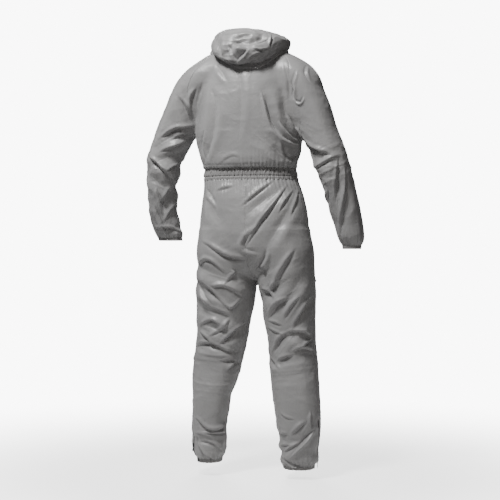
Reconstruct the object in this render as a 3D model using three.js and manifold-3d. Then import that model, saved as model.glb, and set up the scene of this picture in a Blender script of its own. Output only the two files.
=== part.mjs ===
// A one-piece rain suit with a hood, worn and hollow. Millimetres, +Z up.
// The wearer faces +Y and has the right hand at +X. The origin lies midway between the wearer's
// shoulders, level with the tops of the shoulders beside the neck, where the suit is held up.
import * as THREE from "three";
import Module from "manifold-3d";

// Driving dimensions
const wall = 2;
const seamGap = 0.6;
const bodiceHem = -407;
const waistbandHem = -447;
const crotchHeight = -800;
const cuffBand = 12;
const hemBand = 12;
const collarStand = { sides: 10, ends: 20 };
const leftCuffSeam = -645;
const rightCuffSeam = -675;
const leftHemSeam = -1418;
const rightHemSeam = -1430;
const frontZipEnd = -610;
const ankleZipLength = 165;
const ankleSlider = { left: 34, right: 22 };

const zip = { opening: 10, tape: 9, coil: 5, coilHeight: 1, gap: 0.3 };
const slider = {
  length: 10,
  width: 7.4,
  height: 1.6,
  bridge: 2.4,
  arch: 8.8,
  post: 1.2,
  room: 2.2,
  top: 1,
};
const pull = { length: 24, width: 6.8, thick: 1.1, window: 3.6, windowLength: 7, round: 1.6 };

// Cells of each cloth panel
const cells = {
  sideSeam: 5,
  raglan: 7,
  backAcross: 16,
  frontAcross: 8,
  sleeveNeck: 2,
  sleeveLong: 20,
  trouserAcross: 8,
  rise: 11,
  inseam: 18,
};
const gathers = { waist: 44, cuff: 20, hem: 23, perWave: 4, waistDeep: 2.2, bandDeep: 1.3 };

const colours = {
  cloth: { color: 0x9b9a9c, roughness: 0.5, metalness: 0 },
  elastic: { color: 0x8f8e8f, roughness: 0.6, metalness: 0 },
  tape: { color: 0x3f3f41, roughness: 0.8, metalness: 0 },
  metal: { color: 0x55565a, roughness: 0.4, metalness: 0.8 },
};

// Level sections of each tube of the suit: its edges at each height
const trunk = [
  { z: 25, left: -60, right: 60, front: 45, back: -60 },
  { z: 0, left: -95, right: 95, front: 60, back: -84 },
  { z: -40, left: -125, right: 125, front: 84, back: -108 },
  { z: -90, left: -150, right: 150, front: 104, back: -126 },
  { z: -150, left: -168, right: 165, front: 117, back: -136 },
  { z: -220, left: -182, right: 177, front: 124, back: -139 },
  { z: -285, left: -190, right: 183, front: 127, back: -137 },
  { z: -345, left: -179, right: 180, front: 125, back: -135 },
  { z: -380, left: -168, right: 170, front: 122, back: -133 },
  { z: -398, left: -161, right: 165, front: 117, back: -127 },
  { z: -407, left: -157, right: 162, front: 110, back: -115 },
  { z: -427, left: -160, right: 165, front: 108, back: -113 },
  { z: -447, left: -160, right: 170, front: 110, back: -116 },
  { z: -480, left: -161, right: 183, front: 114, back: -125 },
  { z: -520, left: -165, right: 196, front: 116, back: -133 },
  { z: -580, left: -172, right: 208, front: 116, back: -141 },
  { z: -640, left: -172, right: 212, front: 112, back: -145 },
  { z: -700, left: -172, right: 219, front: 100, back: -136 },
  { z: -745, left: -157, right: 205, front: 74, back: -110 },
  { z: -778, left: -141, right: 191, front: 38, back: -66 },
  { z: -796, left: -122, right: 171, front: 6, back: -20 },
];
const legLeft = [
  { z: -620, left: -162, right: 14, front: 88, back: -112 },
  { z: -700, left: -178, right: 20, front: 98, back: -127 },
  { z: -760, left: -181, right: 22, front: 98, back: -124 },
  { z: -810, left: -186, right: 21, front: 97, back: -115 },
  { z: -870, left: -187, right: 14, front: 95, back: -106 },
  { z: -930, left: -188, right: 0, front: 93, back: -98 },
  { z: -1000, left: -188, right: -13, front: 92, back: -90 },
  { z: -1040, left: -197, right: -23, front: 93, back: -84 },
  { z: -1092, left: -202, right: -35, front: 91, back: -82 },
  { z: -1150, left: -203, right: -50, front: 80, back: -90 },
  { z: -1200, left: -200, right: -68, front: 70, back: -96 },
  { z: -1250, left: -199, right: -75, front: 60, back: -97 },
  { z: -1300, left: -201, right: -84, front: 53, back: -94 },
  { z: -1350, left: -201, right: -83, front: 49, back: -90 },
  { z: -1385, left: -197, right: -85, front: 45, back: -86 },
  { z: -1405, left: -191, right: -90, front: 38, back: -80 },
  { z: -1418, left: -182, right: -98, front: 30, back: -72 },
  { z: -1434, left: -181, right: -99, front: 29, back: -71 },
];
const legRight = [
  { z: -620, left: 40, right: 202, front: 88, back: -112 },
  { z: -700, left: 36, right: 223, front: 98, back: -127 },
  { z: -760, left: 36, right: 230, front: 98, back: -124 },
  { z: -810, left: 39, right: 233, front: 97, back: -116 },
  { z: -870, left: 50, right: 234, front: 95, back: -106 },
  { z: -930, left: 57, right: 231, front: 93, back: -98 },
  { z: -1000, left: 69, right: 232, front: 92, back: -90 },
  { z: -1060, left: 71, right: 236, front: 92, back: -83 },
  { z: -1092, left: 76, right: 239, front: 90, back: -83 },
  { z: -1150, left: 83, right: 245, front: 80, back: -90 },
  { z: -1200, left: 89, right: 250, front: 70, back: -96 },
  { z: -1250, left: 98, right: 254, front: 60, back: -97 },
  { z: -1300, left: 106, right: 254, front: 53, back: -94 },
  { z: -1350, left: 109, right: 250, front: 50, back: -90 },
  { z: -1385, left: 115, right: 246, front: 48, back: -88 },
  { z: -1415, left: 121, right: 247, front: 42, back: -84 },
  { z: -1430, left: 128, right: 234, front: 34, back: -74 },
  { z: -1451, left: 130, right: 232, front: 33, back: -73 },
];
const armLeft = [
  { z: 8, left: -120, right: -62, front: 18, back: -36 },
  { z: -10, left: -152, right: -52, front: 44, back: -58 },
  { z: -31, left: -186, right: -52, front: 61, back: -74 },
  { z: -52, left: -216, right: -60, front: 71, back: -86 },
  { z: -73, left: -240, right: -75, front: 78, back: -93 },
  { z: -94, left: -257, right: -95, front: 80, back: -95 },
  { z: -136, left: -280, right: -130, front: 80, back: -95 },
  { z: -200, left: -308, right: -163, front: 76, back: -91 },
  { z: -262, left: -336, right: -190, front: 70, back: -85 },
  { z: -290, left: -345, right: -203, front: 67, back: -83 },
  { z: -325, left: -358, right: -222, front: 64, back: -80 },
  { z: -367, left: -372, right: -247, front: 62, back: -78 },
  { z: -392, left: -374, right: -257, front: 63, back: -75 },
  { z: -430, left: -375, right: -265, front: 66, back: -67 },
  { z: -475, left: -375, right: -274, front: 72, back: -56 },
  { z: -515, left: -377, right: -282, front: 80, back: -43 },
  { z: -560, left: -377, right: -280, front: 88, back: -29 },
  { z: -598, left: -372, right: -271, front: 95, back: -14 },
  { z: -622, left: -365, right: -268, front: 97, back: -3 },
  { z: -645, left: -355, right: -270, front: 91, back: 16 },
  { z: -658, left: -350, right: -268, front: 91, back: 17 },
];
const armRight = [
  { z: 8, left: 62, right: 118, front: 18, back: -36 },
  { z: -10, left: 52, right: 146, front: 44, back: -58 },
  { z: -31, left: 52, right: 187, front: 61, back: -74 },
  { z: -52, left: 60, right: 217, front: 71, back: -86 },
  { z: -73, left: 75, right: 237, front: 78, back: -93 },
  { z: -94, left: 93, right: 250, front: 80, back: -95 },
  { z: -136, left: 124, right: 264, front: 80, back: -95 },
  { z: -200, left: 152, right: 289, front: 76, back: -91 },
  { z: -262, left: 179, right: 307, front: 70, back: -85 },
  { z: -304, left: 195, right: 323, front: 66, back: -82 },
  { z: -346, left: 218, right: 339, front: 63, back: -79 },
  { z: -388, left: 234, right: 352, front: 63, back: -75 },
  { z: -430, left: 246, right: 362, front: 66, back: -67 },
  { z: -472, left: 260, right: 370, front: 72, back: -55 },
  { z: -515, left: 275, right: 377, front: 79, back: -43 },
  { z: -556, left: 283, right: 385, front: 86, back: -30 },
  { z: -598, left: 293, right: 392, front: 93, back: -15 },
  { z: -640, left: 303, right: 396, front: 95, back: -4 },
  { z: -660, left: 310, right: 393, front: 91, back: 8 },
  { z: -675, left: 320, right: 385, front: 82, back: 20 },
  { z: -690, left: 321, right: 383, front: 81, back: 21 },
];

// Rings of the hood above the collar stand, from its foot over the crest to the open edge inside
const hoodRings = [
  { left: -128, right: 142, front: 90, back: -138, zLeft: 16, zRight: 19, zFront: -64, zBack: -58 },
  { left: -127, right: 145, front: 96, back: -158, zLeft: 26, zRight: 28, zFront: -48, zBack: -40 },
  { left: -123, right: 144, front: 97, back: -163, zLeft: 39, zRight: 36, zFront: -26, zBack: -8 },
  { left: -116, right: 137, front: 90, back: -152, zLeft: 53, zRight: 43, zFront: -8, zBack: 26 },
  { left: -106, right: 121, front: 80, back: -128, zLeft: 63, zRight: 50, zFront: 3, zBack: 56 },
  { left: -93, right: 100, front: 68, back: -98, zLeft: 66, zRight: 53, zFront: 6, zBack: 71 },
  { left: -82, right: 86, front: 58, back: -78, zLeft: 54, zRight: 44, zFront: 0, zBack: 63 },
  { left: -77, right: 80, front: 54, back: -69, zLeft: 28, zRight: 22, zFront: -18, zBack: 36 },
  { left: -79, right: 82, front: 55, back: -69, zLeft: 0, zRight: -4, zFront: -38, zBack: 6 },
];

// Seams, as points that are then laid onto the suit's surface
const points = (...list) => list.map(([x, y, z]) => new THREE.Vector3(x, y, z));
const neck = {
  frontLeft: points([-4, 85, -95], [-55, 72, -75], [-95, 50, -45]),
  sleeveFrontLeft: points([-95, 50, -45], [-125, 20, -20], [-137, -15, -10]),
  sleeveBackLeft: points([-137, -15, -10], [-130, -38, -12], [-116, -55, -17]),
  back: points(
    [-116, -55, -17],
    [-80, -80, -35],
    [-13, -115, -71],
    [56, -116, -71],
    [90, -104, -51],
    [136, -60, -7],
  ),
  sleeveBackRight: points([136, -60, -7], [142, -42, -2], [144, -20, 2]),
  sleeveFrontRight: points([144, -20, 2], [128, 25, -18], [98, 52, -45]),
  frontRight: points([98, 52, -45], [52, 74, -76], [-4, 85, -95]),
};
const seams = {
  sideLeft: points([-157, -2, -407], [-180, -4, -345], [-196, -5, -288]),
  sideRight: points([158, -2, -407], [174, -4, -345], [186, -5, -300]),
  raglanBackLeft: points(
    [-196, -5, -288],
    [-194, -55, -260],
    [-197, -90, -200],
    [-200, -93, -147],
    [-196, -92, -119],
    [-156, -80, -45],
    [-116, -55, -17],
  ),
  raglanBackRight: points(
    [186, -5, -300],
    [192, -60, -275],
    [192, -95, -231],
    [174, -93, -150],
    [163, -95, -98],
    [158, -85, -45],
    [136, -60, -7],
  ),
  raglanFrontLeft: points(
    [-196, -5, -288],
    [-192, 55, -250],
    [-186, 80, -190],
    [-168, 80, -125],
    [-132, 68, -75],
    [-95, 50, -45],
  ),
  raglanFrontRight: points(
    [186, -5, -300],
    [190, 50, -255],
    [180, 78, -190],
    [160, 80, -125],
    [128, 68, -78],
    [98, 52, -45],
  ),
  centreFront: points([-11, 110, -407], [-8, 125, -285], [-6, 115, -180], [-4, 85, -95]),
  overArmLeft: points(
    [-137, -15, -10],
    [-216, -8, -52],
    [-276, -8, -136],
    [-364, -6, -392],
    [-357, 29, -560],
    [-326, 52, -643],
  ),
  overArmRight: points(
    [144, -20, 2],
    [213, -8, -52],
    [256, -8, -136],
    [343, -6, -388],
    [381, 29, -556],
    [384, 52, -675],
  ),
  underArmLeft: points(
    [-196, -5, -288],
    [-222, -8, -330],
    [-249, -6, -392],
    [-262, 29, -560],
    [-251, 52, -643],
  ),
  underArmRight: points([186, -5, -300], [206, -8, -336], [238, -4, -430], [280, 29, -556], [318, 52, -675]),
  sideLegLeftUpper: points([-161, 0, -447], [-180, -8, -600], [-188, -16, -790]),
  sideLegLeftLower: points(
    [-188, -16, -790],
    [-190, -20, -1000],
    [-203, -20, -1092],
    [-200, -50, -1220],
    [-190, -72, -1330],
    [-172, -62, -1418],
  ),
  sideLegRightUpper: points([164, 0, -447], [200, -8, -600], [223, -16, -790]),
  sideLegRightLower: points(
    [223, -16, -790],
    [222, -20, -1000],
    [228, -25, -1092],
    [234, -42, -1220],
    [238, -26, -1330],
    [244, -14, -1435],
  ),
  centreBack: points(
    [21, -116, -447],
    [21, -140, -580],
    [23, -138, -690],
    [26, -90, -765],
    [27, -40, -793],
    [27, 0, -806],
  ),
  centreFrontRise: points(
    [-11, 110, -447],
    [-10, 116, -560],
    [4, 100, -690],
    [20, 62, -765],
    [26, 30, -793],
    [27, 0, -806],
  ),
  inseamLeft: points(
    [27, 0, -806],
    [11, -4, -870],
    [-17, 0, -1000],
    [-40, 4, -1092],
    [-76, -10, -1200],
    [-91, -20, -1300],
    [-108, -20, -1418],
  ),
  inseamRight: points(
    [27, 0, -806],
    [41, -4, -870],
    [59, 0, -1000],
    [65, 4, -1092],
    [77, -10, -1200],
    [91, -20, -1300],
    [112, -20, -1435],
  ),
};

// The largest folds: a soft trough with a ridge beside it, from a to b by way of via, as seen from
// behind (side -1) or from the front (side 1), in the X-Z plane
const folds = [
  { side: -1, a: [-216, -150], via: [-219, -190], b: [-203, -262], width: 18, depth: 8 },
  { side: -1, a: [133, -160], via: [146, -230], b: [172, -300], width: 18, depth: 9 },
  { side: -1, a: [80, -150], via: [105, -250], b: [160, -325], width: 20, depth: 8 },
  { side: -1, a: [-88, -110], via: [-78, -200], b: [-100, -330], width: 24, depth: 5 },
  { side: -1, a: [-130, -330], via: [-120, -365], b: [-118, -392], width: 18, depth: 5 },
  { side: -1, a: [100, -330], via: [125, -360], b: [150, -385], width: 20, depth: 8 },
  { side: -1, a: [-318, -330], via: [-268, -300], b: [-212, -286], width: 18, depth: 10 },
  { side: -1, a: [-345, -400], via: [-300, -375], b: [-240, -345], width: 18, depth: 8 },
  { side: -1, a: [-355, -420], via: [-320, -455], b: [-285, -490], width: 18, depth: 9 },
  { side: -1, a: [-300, -520], via: [-275, -475], b: [-262, -430], width: 18, depth: 8 },
  { side: -1, a: [-310, -500], via: [-300, -560], b: [-285, -610], width: 18, depth: 7 },
  { side: -1, a: [-340, -616], via: [-300, -618], b: [-262, -606], width: 14, depth: 7 },
  { side: -1, a: [205, -320], via: [255, -375], b: [305, -388], width: 20, depth: 9 },
  { side: -1, a: [322, -395], via: [322, -470], b: [316, -590], width: 18, depth: 9 },
  { side: -1, a: [345, -440], via: [352, -520], b: [328, -620], width: 16, depth: 6 },
  { side: -1, a: [24, -575], via: [70, -535], b: [125, -490], width: 18, depth: 8 },
  { side: -1, a: [92, -690], via: [130, -620], b: [165, -545], width: 18, depth: 8 },
  { side: -1, a: [-120, -500], via: [-95, -560], b: [-60, -600], width: 20, depth: 6 },
  { side: -1, a: [-190, -735], via: [-110, -770], b: [10, -800], width: 20, depth: 9 },
  { side: -1, a: [-180, -800], via: [-130, -830], b: [-75, -848], width: 18, depth: 9 },
  { side: -1, a: [40, -740], via: [75, -770], b: [85, -830], width: 20, depth: 10 },
  { side: -1, a: [60, -860], via: [110, -830], b: [165, -790], width: 20, depth: 10 },
  { side: -1, a: [125, -900], via: [165, -850], b: [205, -780], width: 20, depth: 8 },
  { side: -1, a: [-150, -895], via: [-95, -910], b: [-40, -930], width: 18, depth: 9 },
  { side: -1, a: [-165, -870], via: [-130, -920], b: [-95, -975], width: 18, depth: 7 },
  { side: -1, a: [-160, -955], via: [-110, -960], b: [-55, -990], width: 18, depth: 8 },
  { side: -1, a: [-84, -1020], via: [-44, -985], b: [-4, -948], width: 18, depth: 7 },
  { side: -1, a: [-190, -1040], via: [-118, -1020], b: [-42, -1044], width: 16, depth: 8 },
  { side: -1, a: [-88, -1080], via: [-62, -1072], b: [-36, -1080], width: 14, depth: 6 },
  { side: -1, a: [175, -963], via: [208, -907], b: [233, -858], width: 16, depth: 6 },
  { side: -1, a: [106, -1052], via: [152, -986], b: [226, -992], width: 17, depth: 9 },
  { side: -1, a: [176, -1048], via: [205, -1037], b: [234, -1043], width: 14, depth: 3 },
  { side: -1, a: [75, -1060], via: [100, -1075], b: [125, -1080], width: 14, depth: 7 },
  { side: -1, a: [-195, -1340], via: [-140, -1352], b: [-98, -1350], width: 15, depth: 10 },
  { side: -1, a: [-185, -1365], via: [-150, -1375], b: [-105, -1382], width: 14, depth: 8 },
  { side: -1, a: [110, -1395], via: [150, -1370], b: [205, -1330], width: 16, depth: 10 },
  { side: -1, a: [100, -1350], via: [130, -1345], b: [165, -1340], width: 14, depth: 7 },
  { side: 1, a: [-120, -130], via: [-128, -200], b: [-170, -270], width: 20, depth: 8 },
  { side: 1, a: [112, -135], via: [118, -210], b: [150, -275], width: 20, depth: 7 },
  { side: 1, a: [-60, -230], via: [-80, -300], b: [-95, -380], width: 22, depth: 6 },
  { side: 1, a: [70, -210], via: [90, -300], b: [100, -380], width: 22, depth: 6 },
  { side: 1, a: [-350, -380], via: [-310, -395], b: [-262, -385], width: 18, depth: 9 },
  { side: 1, a: [-345, -450], via: [-310, -440], b: [-268, -450], width: 18, depth: 8 },
  { side: 1, a: [240, -380], via: [285, -400], b: [335, -390], width: 18, depth: 9 },
  { side: 1, a: [265, -450], via: [305, -455], b: [350, -440], width: 18, depth: 8 },
  { side: 1, a: [-20, -760], via: [-80, -735], b: [-160, -690], width: 20, depth: 9 },
  { side: 1, a: [45, -760], via: [110, -735], b: [190, -690], width: 20, depth: 9 },
  { side: 1, a: [-10, -700], via: [-60, -660], b: [-120, -600], width: 20, depth: 7 },
  { side: 1, a: [30, -700], via: [80, -660], b: [150, -610], width: 20, depth: 7 },
  { side: 1, a: [-180, -1045], via: [-110, -1060], b: [-50, -1045], width: 18, depth: 8 },
  { side: 1, a: [75, -1045], via: [140, -1060], b: [210, -1045], width: 18, depth: 8 },
  { side: 1, a: [-190, -1320], via: [-145, -1300], b: [-100, -1325], width: 18, depth: 9 },
  { side: 1, a: [100, -1330], via: [160, -1305], b: [225, -1325], width: 18, depth: 9 },
  { side: 1, a: [-190, -1370], via: [-145, -1355], b: [-100, -1375], width: 16, depth: 7 },
  { side: 1, a: [108, -1385], via: [160, -1365], b: [220, -1385], width: 16, depth: 7 },
];

// Folds of the crumpled hood, on its back
const hoodFolds = [
  { side: -1, a: [-66, 50], via: [-20, 56], b: [50, 60], width: 9, depth: 8 },
  { side: -1, a: [-50, -42], via: [-20, 0], b: [25, 28], width: 13, depth: 9 },
  { side: -1, a: [-14, 22], via: [25, 6], b: [66, 20], width: 12, depth: 12 },
  { side: -1, a: [-95, 45], via: [-80, 10], b: [-62, -30], width: 14, depth: 6 },
  { side: -1, a: [70, 48], via: [78, 30], b: [60, 14], width: 12, depth: 9 },
  { side: -1, a: [0, -42], via: [25, -20], b: [45, -4], width: 11, depth: 6 },
];

// Height table at z, by a smooth cubic through its rows
function sectionAt(table, z) {
  const last = table.length - 1;
  if (z >= table[0].z) return table[0];
  if (z <= table[last].z) return table[last];
  let i = 1;
  while (table[i].z > z) i++;
  const rows = [table[Math.max(i - 2, 0)], table[i - 1], table[i], table[Math.min(i + 1, last)]];
  const span = rows[2].z - rows[1].z;
  const t = (z - rows[1].z) / span;
  const read = (key) => {
    const slope = (a, b) => (b.z === a.z ? 0 : (b[key] - a[key]) / (b.z - a.z));
    const m1 = ((slope(rows[0], rows[1]) || slope(rows[1], rows[2])) + slope(rows[1], rows[2])) / 2;
    const m2 = (slope(rows[1], rows[2]) + (slope(rows[2], rows[3]) || slope(rows[1], rows[2]))) / 2;
    const t2 = t * t;
    const t3 = t2 * t;
    return (
      (2 * t3 - 3 * t2 + 1) * rows[1][key] +
      (t3 - 2 * t2 + t) * span * m1 +
      (3 * t2 - 2 * t3) * rows[2][key] +
      (t3 - t2) * span * m2
    );
  };
  return { left: read("left"), right: read("right"), front: read("front"), back: read("back") };
}

// How far outside a tube of level sections a point is, 0 on its wall
const roundness = 2.25;
function tubeDistance(table, x, y, z) {
  const s = sectionAt(table, z);
  const halfWidth = (s.right - s.left) / 2;
  const halfDepth = (s.front - s.back) / 2;
  const across = Math.abs(x - (s.left + s.right) / 2) / halfWidth;
  const deep = Math.abs(y - (s.front + s.back) / 2) / halfDepth;
  const rho = Math.pow(Math.pow(across, roundness) + Math.pow(deep, roundness), 1 / roundness);
  const past = Math.max(z - table[0].z, table[table.length - 1].z - z, 0);
  return (rho - 1) * Math.min(halfWidth, halfDepth) + past;
}

// Two tubes joined with a soft web between them
function softly(a, b, web) {
  const h = Math.max(web - Math.abs(a - b), 0) / web;
  return Math.min(a, b) - (h * h * web) / 4;
}
const underArmWeb = 26;
const crotchWeb = 26;
const legWeb = 6;
function suitDistance(x, y, z) {
  let d = tubeDistance(trunk, x, y, z);
  d = softly(d, tubeDistance(armLeft, x, y, z), underArmWeb);
  d = softly(d, tubeDistance(armRight, x, y, z), underArmWeb);
  const legs = softly(tubeDistance(legLeft, x, y, z), tubeDistance(legRight, x, y, z), legWeb);
  return softly(d, legs, crotchWeb);
}

const nudge = 0.5;
function steepest(p) {
  return new THREE.Vector3(
    suitDistance(p.x + nudge, p.y, p.z) - suitDistance(p.x - nudge, p.y, p.z),
    suitDistance(p.x, p.y + nudge, p.z) - suitDistance(p.x, p.y - nudge, p.z),
    suitDistance(p.x, p.y, p.z + nudge) - suitDistance(p.x, p.y, p.z - nudge),
  ).divideScalar(2 * nudge);
}

// Lays a point onto the suit's surface; a level point stays at its height
const longestStep = 20;
function lay(p, level = false, steps = 6) {
  const q = p.clone();
  for (let i = 0; i < steps; i++) {
    const g = steepest(q);
    if (level) g.z = 0;
    const step = g.multiplyScalar(suitDistance(q.x, q.y, q.z) / Math.max(g.lengthSq(), 0.05));
    if (step.length() > longestStep) step.setLength(longestStep);
    q.sub(step);
  }
  return q;
}

// A seam through its control points, laid on the surface and divided evenly
function seam(controls, count, level = false) {
  const curve = new THREE.CatmullRomCurve3(controls, false, "centripetal");
  const line = curve.getPoints(120).map((p) => lay(p, level));
  const along = [0];
  line.slice(1).forEach((p, i) => along.push(along[i] + p.distanceTo(line[i])));
  const made = [];
  let k = 1;
  for (let i = 0; i <= count; i++) {
    const at = (along[along.length - 1] * i) / count;
    while (k < line.length - 1 && along[k] < at) k++;
    made.push(line[k - 1].clone().lerp(line[k], (at - along[k - 1]) / (along[k] - along[k - 1])));
  }
  return made.map((p, i) => {
    if (i === 0) return line[0].clone();
    return i === count ? line[line.length - 1].clone() : lay(p, level, 3);
  });
}

// The stretch of a level section from one point to another, round the side that passes near via
function levelSeam(from, via, to, count) {
  const bow = new THREE.CatmullRomCurve3([from, via, to], false, "centripetal");
  return seam(bow.getPoints(8), count, true);
}

// A cloth grid between four seams: rows run from left to right, columns from bottom to top
function spread(bottom, top, left, right, levelRows) {
  const rows = left.length - 1;
  const columns = bottom.length - 1;
  const grid = [];
  for (let i = 0; i <= rows; i++) {
    const v = i / rows;
    const row = [];
    for (let j = 0; j <= columns; j++) {
      const u = j / columns;
      const p = bottom[j].clone().multiplyScalar(1 - v).addScaledVector(top[j], v);
      p.addScaledVector(left[i], 1 - u).addScaledVector(right[i], u);
      p.addScaledVector(bottom[0], -(1 - u) * (1 - v)).addScaledVector(bottom[columns], -u * (1 - v));
      p.addScaledVector(top[0], -(1 - u) * v).addScaledVector(top[columns], -u * v);
      row.push(p);
    }
    grid.push(row);
  }
  for (let i = 0; i <= rows; i++) {
    grid[i][0] = left[i].clone();
    grid[i][columns] = right[i].clone();
  }
  for (let j = 0; j <= columns; j++) {
    grid[0][j] = bottom[j].clone();
    grid[rows][j] = top[j].clone();
  }
  const relaxings = 8;
  for (let n = 0; n < relaxings; n++) {
    const before = grid.map((row) => row.map((p) => p.clone()));
    for (let i = 1; i < rows; i++) {
      for (let j = 1; j < columns; j++) {
        const mean = before[i - 1][j].clone().add(before[i + 1][j]);
        mean.add(before[i][j - 1]).add(before[i][j + 1]).multiplyScalar(0.25);
        grid[i][j] = lay(mean, false, n ? 2 : 8);
      }
    }
  }
  return { grid, levelRows: levelRows || [] };
}

// Fold lines on the surface, found by sinking points from outside until they meet it
const farOut = 260;
function foldLine(fold, distance) {
  const seen = [fold.a, fold.via, fold.b].map(([x, z]) => new THREE.Vector3(x, 0, z));
  const pieces = 12;
  return new THREE.CatmullRomCurve3(seen).getPoints(pieces).map((p) => {
    let y = fold.side * farOut;
    for (let i = 0; i < 60; i++) y -= fold.side * Math.max(distance(p.x, y, p.z), 0.2) * 0.8;
    return new THREE.Vector3(p.x, y, p.z);
  });
}

// How far the cloth moves out at a point with outward direction n, for a list of fold lines
function foldHeight(lines, p, n) {
  let height = 0;
  for (const { line, width, depth } of lines) {
    let best = Infinity;
    let place = 0;
    let side = 0;
    for (let i = 0; i < line.length - 1; i++) {
      const run = line[i + 1].clone().sub(line[i]);
      const t = THREE.MathUtils.clamp(p.clone().sub(line[i]).dot(run) / run.lengthSq(), 0, 1);
      const off = p.clone().sub(line[i].clone().addScaledVector(run, t));
      if (off.length() < best) {
        best = off.length();
        place = (i + t) / (line.length - 1);
        side = Math.sign(off.dot(run.cross(n)));
      }
    }
    const taper = Math.pow(Math.sin(Math.PI * THREE.MathUtils.clamp(place, 0.06, 0.94)), 0.6);
    const s = (side * best) / width;
    height += depth * taper * (0.55 * Math.exp(-((s - 1.5) ** 2)) - Math.exp(-s * s));
  }
  return height;
}

const suitFolds = folds.map((fold) => ({ ...fold, line: foldLine(fold, suitDistance) }));

// At the neck seam the wall leans halfway between the shoulder and the standing collar
const neckCentre = new THREE.Vector3(0, -15, 0);
const neckPoints = [];
function wallDirection(p, level) {
  const n = steepest(p);
  if (level) n.z = 0;
  n.normalize();
  if (neckPoints.some((q) => q.distanceToSquared(p) < 1e-6)) {
    const away = p.clone().sub(neckCentre).setZ(0).normalize();
    n.add(away).normalize();
  }
  return n;
}

// Outer points of a laid grid, moved out by the folds, with the direction of the wall at each
function clothe({ grid, levelRows }) {
  const outer = [];
  const out = [];
  grid.forEach((row, i) => {
    const normals = row.map((p) => wallDirection(p, levelRows.includes(i)));
    out.push(normals);
    const height = (p, j) => foldHeight(suitFolds, p, normals[j]);
    outer.push(row.map((p, j) => p.clone().addScaledVector(normals[j], height(p, j))));
  });
  return { outer, out, levelRows };
}

// Step from an edge point into its panel, square to the edge
function takenIn(p, neighbour, along, amount, flat = false) {
  const inward = neighbour.clone().sub(p);
  if (flat) {
    inward.z = 0;
    return inward.setLength(amount);
  }
  return inward.projectOnPlane(along.normalize()).setLength(amount);
}

// Closed solid of a cloth wall. trim says how much each edge is taken in: bottom, top, left and right
function clothSolid({ outer, out, levelRows = [] }, trim, thick = wall) {
  const rows = outer.length - 1;
  const columns = outer[0].length - 1;
  const edge = (key, i) => (typeof trim[key] === "function" ? trim[key](i) : (trim[key] ?? seamGap / 2));
  const face = outer.map((row) => row.map((p) => p.clone()));
  const level = (i) => levelRows.includes(i);
  for (let i = 0; i <= rows; i++) {
    const next = outer[Math.min(i + 1, rows)];
    const last = outer[Math.max(i - 1, 0)];
    for (const [j, beside, key] of [
      [0, 1, "left"],
      [columns, columns - 1, "right"],
    ]) {
      const along = next[j].clone().sub(last[j]);
      face[i][j].add(takenIn(outer[i][j], outer[i][beside], along, edge(key, i), level(i)));
    }
  }
  for (let j = 0; j <= columns; j++) {
    for (const [i, beside, key] of [
      [0, 1, "bottom"],
      [rows, rows - 1, "top"],
    ]) {
      const along = outer[i][Math.min(j + 1, columns)].clone().sub(outer[i][Math.max(j - 1, 0)]);
      face[i][j].add(takenIn(outer[i][j], outer[beside][j], along, edge(key, j)));
    }
  }
  for (const i of levelRows) {
    const inward = i === 0 ? outer[1][0].z - outer[0][0].z : outer[rows - 1][0].z - outer[rows][0].z;
    const z = outer[i][0].z + Math.sign(inward) * edge(i === 0 ? "bottom" : "top", 0);
    for (const p of face[i]) p.z = z;
  }
  const back = face.map((row, i) => row.map((p, j) => p.clone().addScaledVector(out[i][j], -thick)));
  return closedWall(face, back);
}

// Joins an outer and an inner grid into one closed body; a ring's last column meets its first
function closedWall(face, back, ring = false) {
  const rows = face.length;
  const columns = face[0].length;
  const position = [...face.flat(), ...back.flat()].flatMap((p) => [p.x, p.y, p.z]);
  const at = (layer, i, j) => layer * rows * columns + i * columns + (j % columns);
  const index = [];
  const quad = (a, b, c, d) => index.push(a, b, c, a, c, d);
  const lastColumn = ring ? columns : columns - 1;
  for (let i = 0; i < rows - 1; i++) {
    for (let j = 0; j < lastColumn; j++) {
      quad(at(0, i, j), at(0, i, j + 1), at(0, i + 1, j + 1), at(0, i + 1, j));
      quad(at(1, i, j), at(1, i + 1, j), at(1, i + 1, j + 1), at(1, i, j + 1));
    }
  }
  for (let j = 0; j < lastColumn; j++) {
    quad(at(0, 0, j + 1), at(0, 0, j), at(1, 0, j), at(1, 0, j + 1));
    const i = rows - 1;
    quad(at(0, i, j), at(0, i, j + 1), at(1, i, j + 1), at(1, i, j));
  }
  for (let i = 0; i < rows - 1 && !ring; i++) {
    quad(at(0, i, 0), at(0, i + 1, 0), at(1, i + 1, 0), at(1, i, 0));
    const j = lastColumn;
    quad(at(0, i + 1, j), at(0, i, j), at(1, i, j), at(1, i + 1, j));
  }
  return facingOut(position, index);
}

function facingOut(position, index) {
  let volume = 0;
  const corner = (k) => new THREE.Vector3().fromArray(position, index[k] * 3);
  for (let k = 0; k < index.length; k += 3) {
    volume += corner(k).dot(corner(k + 1).cross(corner(k + 2)));
  }
  if (volume < 0) index.reverse();
  const geometry = new THREE.BufferGeometry();
  geometry.setAttribute("position", new THREE.Float32BufferAttribute(position, 3));
  geometry.setIndex(index);
  geometry.computeVertexNormals();
  return geometry;
}

const suit = new THREE.Group();
function piece(name, geometry, finish) {
  const mesh = new THREE.Mesh(geometry, new THREE.MeshStandardMaterial(colours[finish]));
  mesh.name = name;
  suit.add(mesh);
  return mesh;
}

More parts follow.
